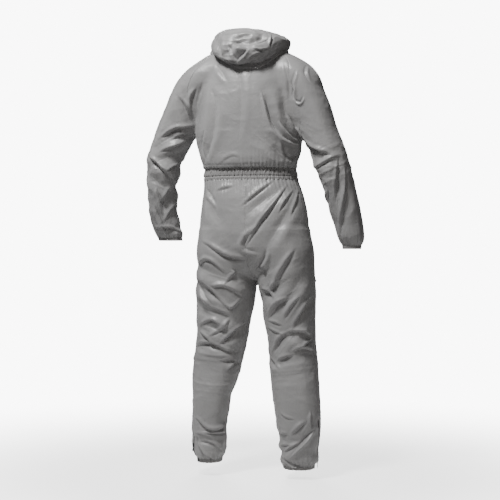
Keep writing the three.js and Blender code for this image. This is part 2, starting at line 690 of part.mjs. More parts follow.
// Bodice: the seams first, each made once and shared by the panels on both sides
const side = { left: seam(seams.sideLeft, cells.sideSeam), right: seam(seams.sideRight, cells.sideSeam) };
side.left[0] = lay(seams.sideLeft[0], true);
side.right[0] = lay(seams.sideRight[0], true);
const raglan = {
  backLeft: seam(seams.raglanBackLeft, cells.raglan),
  backRight: seam(seams.raglanBackRight, cells.raglan),
  frontLeft: seam(seams.raglanFrontLeft, cells.raglan),
  frontRight: seam(seams.raglanFrontRight, cells.raglan),
};
const neckline = {
  frontLeft: seam(neck.frontLeft, cells.frontAcross),
  sleeveFrontLeft: seam(neck.sleeveFrontLeft, cells.sleeveNeck),
  sleeveBackLeft: seam(neck.sleeveBackLeft, cells.sleeveNeck),
  back: seam(neck.back, cells.backAcross),
  sleeveBackRight: seam(neck.sleeveBackRight, cells.sleeveNeck),
  sleeveFrontRight: seam(neck.sleeveFrontRight, cells.sleeveNeck),
  frontRight: seam(neck.frontRight, cells.frontAcross),
};
neckPoints.push(...Object.values(neckline).flat());
const upper = cells.sideSeam + cells.raglan;
const centreFront = seam(seams.centreFront, upper);
centreFront[0] = lay(seams.centreFront[0], true);
const up = (first, second) => [...first, ...second.slice(1)];
const reversed = (list) => [...list].reverse();
const atHem = (x, y) => new THREE.Vector3(x, y, bodiceHem);
const waistBack = levelSeam(side.left[0], atHem(0, -118), side.right[0], cells.backAcross);
const waistFrontLeft = levelSeam(side.left[0], atHem(-95, 88), centreFront[0], cells.frontAcross);
const waistFrontRight = levelSeam(centreFront[0], atHem(88, 88), side.right[0], cells.frontAcross);

const armholes = {
  backLeft: up(side.left, raglan.backLeft),
  backRight: up(side.right, raglan.backRight),
  frontLeft: up(side.left, raglan.frontLeft),
  frontRight: up(side.right, raglan.frontRight),
};
const bodicePanel = (low, high, left, right) => clothe(spread(low, high, left, right, [0]));
const bodice = {
  back: bodicePanel(waistBack, neckline.back, armholes.backLeft, armholes.backRight),
  frontLeft: bodicePanel(waistFrontLeft, reversed(neckline.frontLeft), armholes.frontLeft, centreFront),
  frontRight: bodicePanel(waistFrontRight, reversed(neckline.frontRight), centreFront, armholes.frontRight),
};
const zipEdge = zip.opening / 2;
const zipPoint = 0.35;
// The seams are a little wider apart where four pieces meet under the arm
const nearUnderArm = 4;
const sideTrim = (i) => (Math.abs(i - cells.sideSeam) < nearUnderArm ? seamGap : seamGap / 2);
const headTrim = (j) => (j < nearUnderArm ? seamGap : seamGap / 2);
piece("bodice_back", clothSolid(bodice.back, { left: sideTrim, right: sideTrim }), "cloth");
piece("bodice_front_left", clothSolid(bodice.frontLeft, { left: sideTrim, right: zipEdge }), "cloth");
piece("bodice_front_right", clothSolid(bodice.frontRight, { left: zipEdge, right: sideTrim }), "cloth");

// Sleeves: each half runs from its raglan seam and neck edge down to the cuff
function sleeveHalf(raglanSeam, neckSeam, underArm, overArm, cuffVia, cuffSeam) {
  const head = up(raglanSeam, neckSeam);
  const [under, over] = [underArm[underArm.length - 1], overArm[overArm.length - 1]];
  const wrist = levelSeam(under, cuffVia, over, head.length - 1);
  wrist.forEach((p) => (p.z = cuffSeam));
  return clothe(spread(head, wrist, underArm, overArm, [cells.sleeveLong]));
}
const arm = {
  underLeft: seam(seams.underArmLeft, cells.sleeveLong),
  underRight: seam(seams.underArmRight, cells.sleeveLong),
  overLeft: seam(seams.overArmLeft, cells.sleeveLong),
  overRight: seam(seams.overArmRight, cells.sleeveLong),
};
for (const key of Object.keys(arm)) {
  const height = key.endsWith("Left") ? leftCuffSeam : rightCuffSeam;
  const end = arm[key][cells.sleeveLong];
  end.z = height;
  arm[key][cells.sleeveLong] = lay(end, true);
}
const cuffMiddle = { left: [-288, 54, leftCuffSeam], right: [351, 51, rightCuffSeam] };
const cuffDepth = 36;
const leftSleeve = (head, neckSeam, y) => {
  const [x, middle, z] = cuffMiddle.left;
  return sleeveHalf(head, neckSeam, arm.underLeft, arm.overLeft, new THREE.Vector3(x, middle + y, z), z);
};
const rightSleeve = (head, neckSeam, y) => {
  const [x, middle, z] = cuffMiddle.right;
  return sleeveHalf(head, neckSeam, arm.underRight, arm.overRight, new THREE.Vector3(x, middle + y, z), z);
};
const sleeves = {
  sleeve_left_back: leftSleeve(raglan.backLeft, reversed(neckline.sleeveBackLeft), -cuffDepth),
  sleeve_left_front: leftSleeve(raglan.frontLeft, neckline.sleeveFrontLeft, cuffDepth),
  sleeve_right_back: rightSleeve(raglan.backRight, neckline.sleeveBackRight, -cuffDepth),
  sleeve_right_front: rightSleeve(raglan.frontRight, reversed(neckline.sleeveFrontRight), cuffDepth),
};
for (const [name, made] of Object.entries(sleeves)) {
  piece(name, clothSolid(made, { bottom: headTrim }), "cloth");
}

// Trousers
const sideLeg = (upperSeam, lowerSeam, hem) => {
  const line = up(seam(upperSeam, cells.rise), seam(lowerSeam, cells.inseam));
  line[0] = lay(upperSeam[0], true);
  const end = lowerSeam[lowerSeam.length - 1].clone();
  end.z = hem;
  line[line.length - 1] = lay(end, true);
  return line;
};
const legSeams = {
  sideLeft: sideLeg(seams.sideLegLeftUpper, seams.sideLegLeftLower, leftHemSeam),
  sideRight: sideLeg(seams.sideLegRightUpper, seams.sideLegRightLower, rightHemSeam),
  back: seam(seams.centreBack, cells.rise),
  front: seam(seams.centreFrontRise, cells.rise),
  inLeft: seam(seams.inseamLeft, cells.inseam),
  inRight: seam(seams.inseamRight, cells.inseam),
};
legSeams.back[0] = lay(seams.centreBack[0], true);
legSeams.front[0] = lay(seams.centreFrontRise[0], true);
const fork = lay(new THREE.Vector3(27, 0, crotchHeight - 6));
for (const key of ["back", "front"]) legSeams[key][cells.rise] = fork.clone();
for (const key of ["inLeft", "inRight"]) legSeams[key][0] = fork.clone();
const levelEnd = (line, height) => {
  const end = line[line.length - 1];
  end.z = height;
  line[line.length - 1] = lay(end, true);
};
levelEnd(legSeams.inLeft, leftHemSeam);
levelEnd(legSeams.inRight, rightHemSeam);

function trouserPanel(outside, rise, inseam, waistVia, hemVia) {
  const inside = up(rise, inseam);
  const waist = levelSeam(outside[0], waistVia, inside[0], cells.trouserAcross);
  const hem = levelSeam(outside[outside.length - 1], hemVia, inside[inside.length - 1], cells.trouserAcross);
  return clothe(spread(waist, hem, outside, inside, [0, cells.rise + cells.inseam]));
}
const atWaist = (x, y) => new THREE.Vector3(x, y, waistbandHem);
const leftHem = (x, y) => new THREE.Vector3(x, y, leftHemSeam);
const rightHem = (x, y) => new THREE.Vector3(x, y, rightHemSeam);
const leftLeg = (rise, ...vias) => trouserPanel(legSeams.sideLeft, rise, legSeams.inLeft, ...vias);
const rightLeg = (rise, ...vias) => trouserPanel(legSeams.sideRight, rise, legSeams.inRight, ...vias);
const trousers = {
  trouser_back_left: leftLeg(legSeams.back, atWaist(-95, -95), leftHem(-142, -72)),
  trouser_back_right: rightLeg(legSeams.back, atWaist(110, -92), rightHem(152, -76)),
  trouser_front_left: leftLeg(legSeams.front, atWaist(-105, 88), leftHem(-165, 22)),
  trouser_front_right: rightLeg(legSeams.front, atWaist(95, 92), rightHem(190, 24)),
};
const rowsLong = cells.rise + cells.inseam;
const sideRow = (line, height) => line.findIndex((p) => p.z < height);
const ankleZipRow = {
  left: sideRow(legSeams.sideLeft, leftHemSeam + ankleZipLength),
  right: sideRow(legSeams.sideRight, rightHemSeam + ankleZipLength),
};
const frontZipRow = legSeams.front.findIndex((p) => p.z < frontZipEnd);
for (const [name, made] of Object.entries(trousers)) {
  const firstOpen = name.endsWith("left") ? ankleZipRow.left : ankleZipRow.right;
  const open = (past) => (past > 0 ? zipEdge : past === 0 ? zipPoint * 2 : seamGap / 2);
  const trim = { left: (i) => open(i - firstOpen) };
  const nearFork = (i) => (Math.abs(i - cells.rise) < nearUnderArm ? seamGap : seamGap / 2);
  const frontEdge = (i) => (i > frontZipRow ? nearFork(i) : open(frontZipRow - i));
  trim.right = name.includes("front") ? frontEdge : nearFork;
  piece(name, clothSolid(made, trim), "cloth");
}

// Elastic bands: an upright wall between two heights, waved by its gathers
function band(loop, high, low, steps, waves, deep, closed) {
  const curve = new THREE.CatmullRomCurve3(loop, closed, "centripetal");
  const count = waves * gathers.perWave;
  curve.arcLengthDivisions = 800;
  const spaced = curve.getSpacedPoints(count).slice(0, closed ? count : count + 1);
  const outer = [];
  const out = [];
  for (let i = 0; i <= steps; i++) {
    const z = high + ((low - high) * i) / steps;
    const normals = [];
    const row = spaced.map((p, j) => {
      const q = lay(new THREE.Vector3(p.x, p.y, z), true);
      const n = steepest(q).setZ(0).normalize();
      normals.push(n);
      const wave = Math.cos((2 * Math.PI * j) / gathers.perWave) * deep;
      return q.addScaledVector(n, wave);
    });
    outer.push(row);
    out.push(normals);
  }
  return { outer, out };
}
function bandSolid({ outer, out }, closed) {
  const back = outer.map((row, i) => row.map((p, j) => p.clone().addScaledVector(out[i][j], -wall)));
  return closedWall(outer, back, closed);
}

// The part of a loop that starts and ends a given distance past its first and last point
function openLoop(loop, margin) {
  const curve = new THREE.CatmullRomCurve3(loop, false, "centripetal");
  const length = curve.getLength();
  const count = 60;
  const made = [];
  for (let i = 0; i <= count; i++) {
    made.push(curve.getPointAt((margin + ((length - 2 * margin) * i) / count) / length));
  }
  return made;
}

const bandGap = 0.3;
const waistLoop = up(up(reversed(waistFrontLeft), waistBack), reversed(waistFrontRight));
const waistband = band(
  openLoop(waistLoop, zipEdge),
  bodiceHem - bandGap,
  waistbandHem + bandGap,
  2,
  gathers.waist,
  gathers.waistDeep,
  false,
);
piece("waistband", bandSolid(waistband, false), "elastic");

const cuffLoop = (back, front) => {
  const ends = (made) => made.outer[cells.sleeveLong];
  return [...ends(back), ...reversed(ends(front)).slice(1, -1)];
};
const cuffs = {
  left: { loop: cuffLoop(sleeves.sleeve_left_back, sleeves.sleeve_left_front), top: leftCuffSeam },
  right: { loop: cuffLoop(sleeves.sleeve_right_back, sleeves.sleeve_right_front), top: rightCuffSeam },
};
for (const [key, { loop, top }] of Object.entries(cuffs)) {
  const made = band(loop, top - bandGap, top - cuffBand, 1, gathers.cuff, gathers.bandDeep, true);
  piece(`cuff_${key}`, bandSolid(made, true), "elastic");
}

const hemLoop = (back, front) => {
  const ends = (made) => made.outer[cells.rise + cells.inseam];
  return up(ends(back), reversed(ends(front)));
};
const hems = {
  left: { loop: hemLoop(trousers.trouser_back_left, trousers.trouser_front_left), top: leftHemSeam },
  right: { loop: hemLoop(trousers.trouser_back_right, trousers.trouser_front_right), top: rightHemSeam },
};
for (const [key, { loop, top }] of Object.entries(hems)) {
  const open = openLoop(loop, zipEdge);
  const made = band(open, top - bandGap, top - hemBand, 1, gathers.hem, gathers.bandDeep, false);
  piece(`hem_${key}`, bandSolid(made, false), "elastic");
}

// Collar stand and hood: one grid round the neck, from the neck seam to the hood's edge inside
const neckRound = [
  neckline.frontLeft,
  neckline.sleeveFrontLeft,
  neckline.sleeveBackLeft,
  neckline.back,
  neckline.sleeveBackRight,
  neckline.sleeveFrontRight,
  neckline.frontRight,
].reduce(up);
const neckFolds = (p) => foldHeight(suitFolds, p, wallDirection(p, false));
const foot = neckRound.map((p) => p.clone().addScaledVector(wallDirection(p, false), neckFolds(p)));
const collarLean = 0.25;
const collarTop = foot.map((p) => {
  const inward = neckCentre.clone().sub(p).setZ(0).normalize();
  const high = collarStand.sides + (collarStand.ends - collarStand.sides) * inward.y * inward.y;
  return p.clone().add(inward.multiplyScalar(collarLean).add(new THREE.Vector3(0, 0, 1)).setLength(high));
});
const turns = neckRound.map((p) => Math.atan2(p.y - neckCentre.y, p.x - neckCentre.x));
const hoodRoundness = 2.2;
function hoodPoint(ring, turn) {
  const across = Math.cos(turn);
  const deep = Math.sin(turn);
  const halfWidth = Math.abs(across < 0 ? ring.left : ring.right);
  const halfDepth = Math.abs((deep < 0 ? ring.back : ring.front) - neckCentre.y);
  const part = (share, half) => Math.pow(Math.abs(share) / half, hoodRoundness);
  const rho = Math.pow(part(across, halfWidth) + part(deep, halfDepth), -1 / hoodRoundness);
  const x = across * rho;
  const y = neckCentre.y + deep * rho;
  const end = deep < 0 ? ring.zBack : ring.zFront;
  const beside = across < 0 ? ring.zLeft : ring.zRight;
  return new THREE.Vector3(x, y, beside + (end - beside) * deep * deep);
}
const hoodLines = hoodFolds.map((fold) => {
  const seen = [fold.a, fold.via, fold.b].map(([x, z]) => new THREE.Vector3(x, 0, z));
  return { ...fold, line: new THREE.CatmullRomCurve3(seen).getPoints(12) };
});
const hoodRows = 13;
const columnsRound = neckRound.length - 1;
const hoodColumns = neckRound.map((_, j) => {
  const stops = [collarTop[j], ...hoodRings.map((ring) => hoodPoint(ring, turns[j]))];
  const curve = new THREE.CatmullRomCurve3(stops, false, "centripetal");
  return [foot[j], ...Array.from({ length: hoodRows + 1 }, (unused, i) => curve.getPoint(i / hoodRows))];
});
const neckGrid = Array.from({ length: hoodRows + 2 }, (unused, i) => hoodColumns.map((column) => column[i]));
const neckOut = neckGrid.map((row, i) =>
  row.map((p, j) => {
    if (i === 0) return wallDirection(neckRound[j], false);
    const along = row[Math.min(j + 1, columnsRound)].clone().sub(row[Math.max(j - 1, 0)]);
    const rise = neckGrid[Math.min(i + 1, hoodRows + 1)][j].clone().sub(neckGrid[i - 1][j]);
    return along.cross(rise).normalize();
  }),
);
const backward = new THREE.Vector3(0, -1, 0);
const neckOuter = neckGrid.map((row, i) =>
  row.map((p, j) => {
    const facing = Math.max(neckOut[i][j].dot(backward), 0);
    if (i < 3 || facing === 0) return p;
    const seen = new THREE.Vector3(p.x, 0, p.z);
    const height = foldHeight(hoodLines, seen, backward) * Math.min(1, facing * 2);
    return p.clone().addScaledVector(neckOut[i][j], height);
  }),
);
function neckPart(firstRow, lastRow, firstColumn, lastColumn) {
  const rowsOf = (grid) => grid.slice(firstRow, lastRow + 1);
  const cut = (grid) => rowsOf(grid).map((row) => row.slice(firstColumn, lastColumn + 1));
  return { outer: cut(neckOuter), out: cut(neckOut) };
}
const besideCentre = 4;
const fromFront = cells.frontAcross + 2 * cells.sleeveNeck + besideCentre;
const hoodSeams = [fromFront, columnsRound - fromFront];
const neckGap = 0.4;
const standTrim = { left: zipEdge, right: zipEdge, bottom: neckGap, top: neckGap };
piece("collar", clothSolid(neckPart(0, 1, 0, columnsRound), standTrim), "cloth");
for (const [name, first, last, trim] of [
  ["hood_left", 0, hoodSeams[0], { left: zipEdge }],
  ["hood_centre", hoodSeams[0], hoodSeams[1], {}],
  ["hood_right", hoodSeams[1], columnsRound, { right: zipEdge }],
]) {
  const made = neckPart(1, hoodRows + 1, first, last);
  piece(name, clothSolid(made, { ...trim, top: 0, bottom: neckGap }), "cloth");
}

// Zips: a strip of tape with its coil, between the cloth's edges on both sides. It starts as a point
function zipStrip(line, out) {
  const profile = [
    [-zip.tape / 2, -wall],
    [zip.tape / 2, -wall],
    [zip.tape / 2, 0],
    [zip.coil / 2, 0],
    [zip.coil / 2 - 0.4, zip.coilHeight],
    [-zip.coil / 2 + 0.4, zip.coilHeight],
    [-zip.coil / 2, 0],
    [-zip.tape / 2, 0],
  ];
  const rows = line.map((p, i) => {
    const along = line[Math.min(i + 1, line.length - 1)].clone().sub(line[Math.max(i - 1, 0)]);
    const across = along.cross(out[i]).normalize();
    const width = i === 0 ? (2 * zipPoint) / zip.tape : 1;
    return profile.map(([c, h]) => {
      const high = h > 0 ? h * width : h;
      return p.clone().addScaledVector(across, c * width).addScaledVector(out[i], high);
    });
  });
  const position = rows.flat().flatMap((p) => [p.x, p.y, p.z]);
  const round = profile.length;
  const index = [];
  for (let i = 0; i < line.length - 1; i++) {
    for (let k = 0; k < round; k++) {
      const a = i * round + k;
      const b = i * round + ((k + 1) % round);
      index.push(a, b, b + round, a, b + round, a + round);
    }
  }
  const caps = THREE.ShapeUtils.triangulateShape(profile.map(([c, h]) => new THREE.Vector2(c, h)), []);
  const last = (line.length - 1) * round;
  for (const [a, b, c] of caps) index.push(c, b, a, last + a, last + b, last + c);
  return facingOut(position, index);
}

function trimEnds(line, low, high) {
  const made = line.map((p) => p.clone());
  const last = line.length - 1;
  if (low) made[0].add(line[1].clone().sub(line[0]).setLength(low));
  if (high) made[last].add(line[last - 1].clone().sub(line[last]).setLength(high));
  return made;
}

const edgeOf = (made, last) => made.outer.map((row) => row[last ? row.length - 1 : 0]);
const edgeOut = (made, last) => made.out.map((row) => row[last ? row.length - 1 : 0]);
const trouserFront = edgeOf(trousers.trouser_front_left, true).slice(0, frontZipRow + 1).reverse();
const trouserOut = edgeOut(trousers.trouser_front_left, true).slice(0, frontZipRow + 1).reverse();
const frontZipLine = [...trouserFront, ...edgeOf(bodice.frontLeft, true), collarTop[0]];
const frontZipOut = [...trouserOut, ...edgeOut(bodice.frontLeft, true), neckOut[1][0]];
piece("front_zip", zipStrip(trimEnds(frontZipLine, 0, 0.5), frontZipOut), "tape");

// Ankle zips end at the bottom edge of the hem
const ankle = {};
for (const key of ["left", "right"]) {
  const made = trousers[`trouser_back_${key}`];
  const first = ankleZipRow[key];
  const line = edgeOf(made, false).slice(first);
  const out = edgeOut(made, false).slice(first);
  const low = hems[key].top - hemBand;
  const end = line[line.length - 1].clone().setZ(low);
  ankle[key] = { line: [...line, end], out: [...out, out[out.length - 1]] };
  piece(`ankle_zip_${key}`, zipStrip(ankle[key].line, ankle[key].out), "tape");
}

// Sliders with their pull tabs: x across the zip, y up along it, z away from the cloth
const wasm = await Module();
wasm.setup();
const { Manifold, CrossSection } = wasm;
const block = (size, centre) => Manifold.cube(size, true).translate(centre);
function toGeometry(solid) {
  const mesh = solid.getMesh();
  const geometry = new THREE.BufferGeometry();
  geometry.setAttribute("position", new THREE.Float32BufferAttribute(mesh.vertProperties, 3));
  geometry.setIndex([...mesh.triVerts]);
  geometry.computeVertexNormals();
  return geometry;
}

const sliderFoot = zip.coilHeight + zip.gap;
const pullHeight = sliderFoot + slider.height + slider.room / 2;
function sliderSolid() {
  const w = slider.width / 2;
  const l = slider.length / 2;
  const outline = new CrossSection([
    [-w * 0.7, -l],
    [w * 0.7, -l],
    [w, l * 0.2],
    [w, l * 0.8],
    [w * 0.8, l],
    [-w * 0.8, l],
    [-w, l * 0.8],
    [-w, l * 0.2],
  ]);
  const body = outline.extrude(slider.height).translate([0, 0, sliderFoot]);
  const top = sliderFoot + slider.height;
  const postAt = (slider.arch - slider.post) / 2;
  const postSize = [slider.bridge, slider.post, slider.room + slider.top + 0.2];
  const postMiddle = top - 0.2 + postSize[2] / 2;
  const archAt = top + slider.room + slider.top / 2;
  return body
    .add(block(postSize, [0, postAt, postMiddle]))
    .add(block(postSize, [0, -postAt, postMiddle]))
    .add(block([slider.bridge, slider.arch, slider.top], [0, 0, archAt]));
}

// The pull turns about the bar at its own origin
function pullSolid() {
  const w = pull.width / 2;
  const bar = pull.thick / 2;
  const end = bar - pull.length;
  const outline = new CrossSection([
    [-w, bar - pull.round],
    [-w, end + pull.round],
    [-w + pull.round, end],
    [w - pull.round, end],
    [w, end + pull.round],
    [w, bar - pull.round],
    [w - pull.round, bar],
    [-w + pull.round, bar],
  ]);
  const v = pull.window / 2;
  const window = new CrossSection([
    [-v, -bar - pull.windowLength],
    [v, -bar - pull.windowLength],
    [v, -bar],
    [-v, -bar],
  ]);
  return outline.subtract(window).extrude(pull.thick).translate([0, 0, -pull.thick / 2]);
}

// Sets a slider on the straight stretch of a zip nearest to a height, its pull hanging down
function setSlider(name, line, out, height) {
  let k = 0;
  line.slice(1).forEach((p, i) => {
    const middle = (a) => Math.abs((line[a].z + line[a + 1].z) / 2 - height);
    if (middle(i) < middle(k)) k = i;
  });
  const along = line[k + 1].clone().sub(line[k]).normalize();
  if (along.z < 0) along.negate();
  const away = out[k].clone().add(out[k + 1]).projectOnPlane(along).normalize();
  const across = along.clone().cross(away);
  const middle = line[k].clone().add(line[k + 1]).multiplyScalar(0.5);
  const place = (mesh, up, off, at) => {
    mesh.matrixAutoUpdate = false;
    mesh.matrix.makeBasis(across, up, off).setPosition(at);
  };
  place(piece(`${name}_slider`, toGeometry(sliderSolid()), "metal"), along, away, middle);
  const plumb = new THREE.Vector3(0, 0, -1).projectOnPlane(across).normalize();
  const lift = Math.max(Math.atan2(plumb.dot(away), -plumb.dot(along)), 0);
  const up = along.clone().multiplyScalar(Math.cos(lift)).addScaledVector(away, -Math.sin(lift));
  const off = across.clone().cross(up);
  const hinge = middle.clone().addScaledVector(away, pullHeight);
  place(piece(`${name}_pull`, toGeometry(pullSolid()), "metal"), up, off, hinge);
}
setSlider("front_zip", frontZipLine, frontZipOut, collarTop[0].z);
setSlider("ankle_zip_left", ankle.left.line, ankle.left.out, leftHemSeam + ankleSlider.left);
setSlider("ankle_zip_right", ankle.right.line, ankle.right.out, rightHemSeam + ankleSlider.right);

export default suit;
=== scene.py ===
import math
import bpy
import numpy as np
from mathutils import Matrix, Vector


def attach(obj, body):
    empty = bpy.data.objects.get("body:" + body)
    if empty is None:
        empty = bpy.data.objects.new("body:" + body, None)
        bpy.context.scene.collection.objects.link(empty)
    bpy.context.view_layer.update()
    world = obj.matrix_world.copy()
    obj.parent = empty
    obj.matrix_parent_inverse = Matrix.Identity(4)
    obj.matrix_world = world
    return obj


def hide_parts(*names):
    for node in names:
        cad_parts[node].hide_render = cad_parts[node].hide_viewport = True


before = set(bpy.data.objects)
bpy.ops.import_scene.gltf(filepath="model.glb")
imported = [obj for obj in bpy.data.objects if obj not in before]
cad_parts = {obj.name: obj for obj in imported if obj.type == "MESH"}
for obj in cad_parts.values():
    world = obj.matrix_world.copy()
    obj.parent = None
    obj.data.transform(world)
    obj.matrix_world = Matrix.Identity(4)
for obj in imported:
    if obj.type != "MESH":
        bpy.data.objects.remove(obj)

for startup in ("Cube", "Light", "Camera"):  # Blender's own first objects
    if startup in bpy.data.objects:
        bpy.data.objects.remove(bpy.data.objects[startup])
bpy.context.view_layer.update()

# The rain suit, seen from behind. Lengths here are in millimetres; meshes are made in metres.

# Camera first: level, behind the wearer and a little to the right
view = {"azimuth": 15, "distance": 4500, "aimHeight": -690, "width": 1750, "sensor": 36}
viewTurn = math.radians(view["azimuth"])
viewRight = np.array([math.cos(viewTurn), math.sin(viewTurn), 0.0])
viewBack = np.array([math.sin(viewTurn), -math.cos(viewTurn), 0.0])
viewAim = np.array([0.0, 0.0, view["aimHeight"]])
viewEye = viewAim + viewBack * view["distance"]


def makeCamera():
    data = bpy.data.cameras.new("backView")
    data.sensor_width = view["sensor"]
    data.lens = view["sensor"] * view["distance"] / view["width"]
    camera = bpy.data.objects.new("backView", data)
    bpy.context.scene.collection.objects.link(camera)
    camera.location = viewEye / 1000
    camera.rotation_euler = (math.pi / 2, 0, viewTurn)
    bpy.context.scene.camera = camera


makeCamera()
print("camera made")

# The suit's form: rounded tubes that blend into each other
sizes = {
    "bodiceHem": -407, "waistbandHem": -447, "fork": -806,
    "cuffBand": 12, "hemBand": 12, "collarSides": 10, "collarEnds": 20,
    "leftCuff": -645, "rightCuff": -675, "leftHem": -1418, "rightHem": -1430,
    "frontZipEnd": -610, "ankleZipLength": 165, "bandEnd": 5.3,
}

# Level sections of the tubes: z, left, right, front, back
trunk = [
    (25, -60, 60, 45, -60),
    (0, -95, 95, 60, -84),
    (-40, -125, 125, 84, -108),
    (-90, -150, 150, 104, -126),
    (-150, -168, 165, 117, -136),
    (-220, -182, 177, 124, -139),
    (-285, -190, 183, 127, -137),
    (-345, -179, 180, 125, -135),
    (-380, -168, 170, 122, -133),
    (-398, -161, 165, 117, -127),
    (-407, -157, 162, 110, -115),
    (-427, -160, 165, 108, -113),
    (-447, -160, 170, 110, -116),
    (-480, -161, 183, 114, -125),
    (-520, -165, 196, 116, -133),
    (-580, -172, 208, 116, -141),
    (-640, -172, 212, 112, -145),
    (-700, -172, 219, 100, -136),
    (-745, -157, 205, 74, -110),
    (-778, -141, 191, 38, -66),
    (-796, -122, 171, 6, -20),
]
legLeft = [
    (-620, -162, 14, 88, -112),
    (-700, -178, 20, 98, -127),
    (-760, -181, 22, 98, -124),
    (-810, -186, 21, 97, -115),
    (-870, -187, 14, 95, -106),
    (-930, -188, 0, 93, -98),
    (-1000, -188, -13, 92, -90),
    (-1040, -197, -23, 93, -84),
    (-1092, -202, -35, 91, -82),
    (-1150, -203, -50, 80, -90),
    (-1200, -200, -68, 70, -96),
    (-1250, -199, -75, 60, -97),
    (-1300, -201, -84, 53, -94),
    (-1350, -201, -83, 49, -90),
    (-1385, -197, -85, 45, -86),
    (-1405, -191, -90, 38, -80),
    (-1418, -182, -98, 30, -72),
    (-1434, -181, -99, 29, -71),
]
legRight = [
    (-620, 40, 202, 88, -112),
    (-700, 36, 223, 98, -127),
    (-760, 36, 230, 98, -124),
    (-810, 39, 233, 97, -116),
    (-870, 50, 234, 95, -106),
    (-930, 57, 231, 93, -98),
    (-1000, 69, 232, 92, -90),
    (-1060, 71, 236, 92, -83),
    (-1092, 76, 239, 90, -83),
    (-1150, 83, 245, 80, -90),
    (-1200, 89, 250, 70, -96),
    (-1250, 98, 254, 60, -97),
    (-1300, 106, 254, 53, -94),
    (-1350, 109, 250, 50, -90),
    (-1385, 115, 246, 48, -88),
    (-1415, 121, 247, 42, -84),
    (-1430, 128, 234, 34, -74),
    (-1451, 130, 232, 33, -73),
]
armLeft = [
    (8, -120, -62, 18, -36),
    (-10, -152, -52, 44, -58),
    (-31, -186, -52, 61, -74),
    (-52, -216, -60, 71, -86),
    (-73, -240, -75, 78, -93),
    (-94, -257, -95, 80, -95),
    (-136, -280, -130, 80, -95),
    (-200, -308, -163, 76, -91),
    (-262, -336, -190, 70, -85),
    (-290, -345, -203, 67, -83),
    (-325, -358, -222, 64, -80),
    (-367, -372, -247, 62, -78),
    (-392, -374, -257, 63, -75),
    (-430, -375, -265, 66, -67),
    (-475, -375, -274, 72, -56),
    (-515, -377, -282, 80, -43),
    (-560, -377, -280, 88, -29),
    (-598, -372, -271, 95, -14),
    (-622, -365, -268, 97, -3),
    (-645, -355, -270, 91, 16),
    (-658, -350, -268, 91, 17),
]
armRight = [
    (8, 62, 118, 18, -36),
    (-10, 52, 146, 44, -58),
    (-31, 52, 187, 61, -74),
    (-52, 60, 217, 71, -86),
    (-73, 75, 237, 78, -93),
    (-94, 93, 250, 80, -95),
    (-136, 124, 264, 80, -95),
    (-200, 152, 289, 76, -91),
    (-262, 179, 307, 70, -85),
    (-304, 195, 323, 66, -82),
    (-346, 218, 339, 63, -79),
    (-388, 234, 352, 63, -75),
    (-430, 246, 362, 66, -67),
    (-472, 260, 370, 72, -55),
    (-515, 275, 377, 79, -43),
    (-556, 283, 385, 86, -30),
    (-598, 293, 392, 93, -15),
    (-640, 303, 396, 95, -4),
    (-660, 310, 393, 91, 8),
    (-675, 320, 385, 82, 20),
    (-690, 321, 383, 81, 21),
]


def readyTube(rows):
    table = np.array(rows, float)
    slope = np.diff(table[:, 1:], axis=0) / np.diff(table[:, 0])[:, None]
    before = np.vstack([slope[:1], slope[:-1]])
    after = np.vstack([slope[1:], slope[-1:]])
    first = (np.where(before == 0, slope, before) + slope) / 2
    second = (slope + np.where(after == 0, slope, after)) / 2
    return {"z": table[:, 0], "edges": table[:, 1:], "first": first, "second": second}


tubes = {
    "trunk": readyTube(trunk),
    "legLeft": readyTube(legLeft),
    "legRight": readyTube(legRight),
    "armLeft": readyTube(armLeft),
    "armRight": readyTube(armRight),
}


def sectionAt(tube, z):
    heights = tube["z"]
    row = np.clip(np.searchsorted(-heights, -z, side="left") - 1, 0, len(heights) - 2)
    span = heights[row + 1] - heights[row]
    t = np.clip((z - heights[row]) / span, 0, 1)[..., None]
    span = span[..., None]
    t2 = t * t
    t3 = t2 * t
    return (
        (2 * t3 - 3 * t2 + 1) * tube["edges"][row]
        + (t3 - 2 * t2 + t) * span * tube["first"][row]
        + (3 * t2 - 2 * t3) * tube["edges"][row + 1]
        + (t3 - t2) * span * tube["second"][row]
    )


# How square the tubes' sections are, and how far round each join the cloth webs over
roundness = 2.25
webs = {"underArm": 26, "crotch": 26, "legs": 6}


def tubeDistance(tube, p):
    s = sectionAt(tube, p[..., 2])
    halfWidth = (s[..., 1] - s[..., 0]) / 2
    halfDepth = (s[..., 2] - s[..., 3]) / 2
    across = np.abs(p[..., 0] - (s[..., 0] + s[..., 1]) / 2) / halfWidth
    deep = np.abs(p[..., 1] - (s[..., 2] + s[..., 3]) / 2) / halfDepth
    rho = (across ** roundness + deep ** roundness) ** (1 / roundness)
    past = np.maximum(np.maximum(p[..., 2] - tube["z"][0], tube["z"][-1] - p[..., 2]), 0)
    return (rho - 1) * np.minimum(halfWidth, halfDepth) + past


def softly(a, b, web):
    h = np.maximum(web - np.abs(a - b), 0) / web
    return np.minimum(a, b) - h * h * web / 4


def suitDistance(p):
    d = tubeDistance(tubes["trunk"], p)
    d = softly(d, tubeDistance(tubes["armLeft"], p), webs["underArm"])
    d = softly(d, tubeDistance(tubes["armRight"], p), webs["underArm"])
    legs = softly(tubeDistance(tubes["legLeft"], p), tubeDistance(tubes["legRight"], p), webs["legs"])
    return softly(d, legs, webs["crotch"])


def lengthOf(v):
    return np.sqrt((v * v).sum(-1))


def unit(v):
    return v / np.maximum(lengthOf(v), 1e-9)[..., None]


# How far each point lies from the first one of its line, or along an axis of its grid
def runLengths(points, axis=0):
    steps = np.cumsum(lengthOf(np.diff(points, axis=axis)), axis)
    return np.concatenate([np.zeros_like(np.take(steps, [0], axis)), steps], axis)


# Points, or the directions at them, read at places between the steps of their line
def readAt(places, steps, values):
    return np.stack([np.interp(places, steps, values[:, axis]) for axis in range(3)], 1)


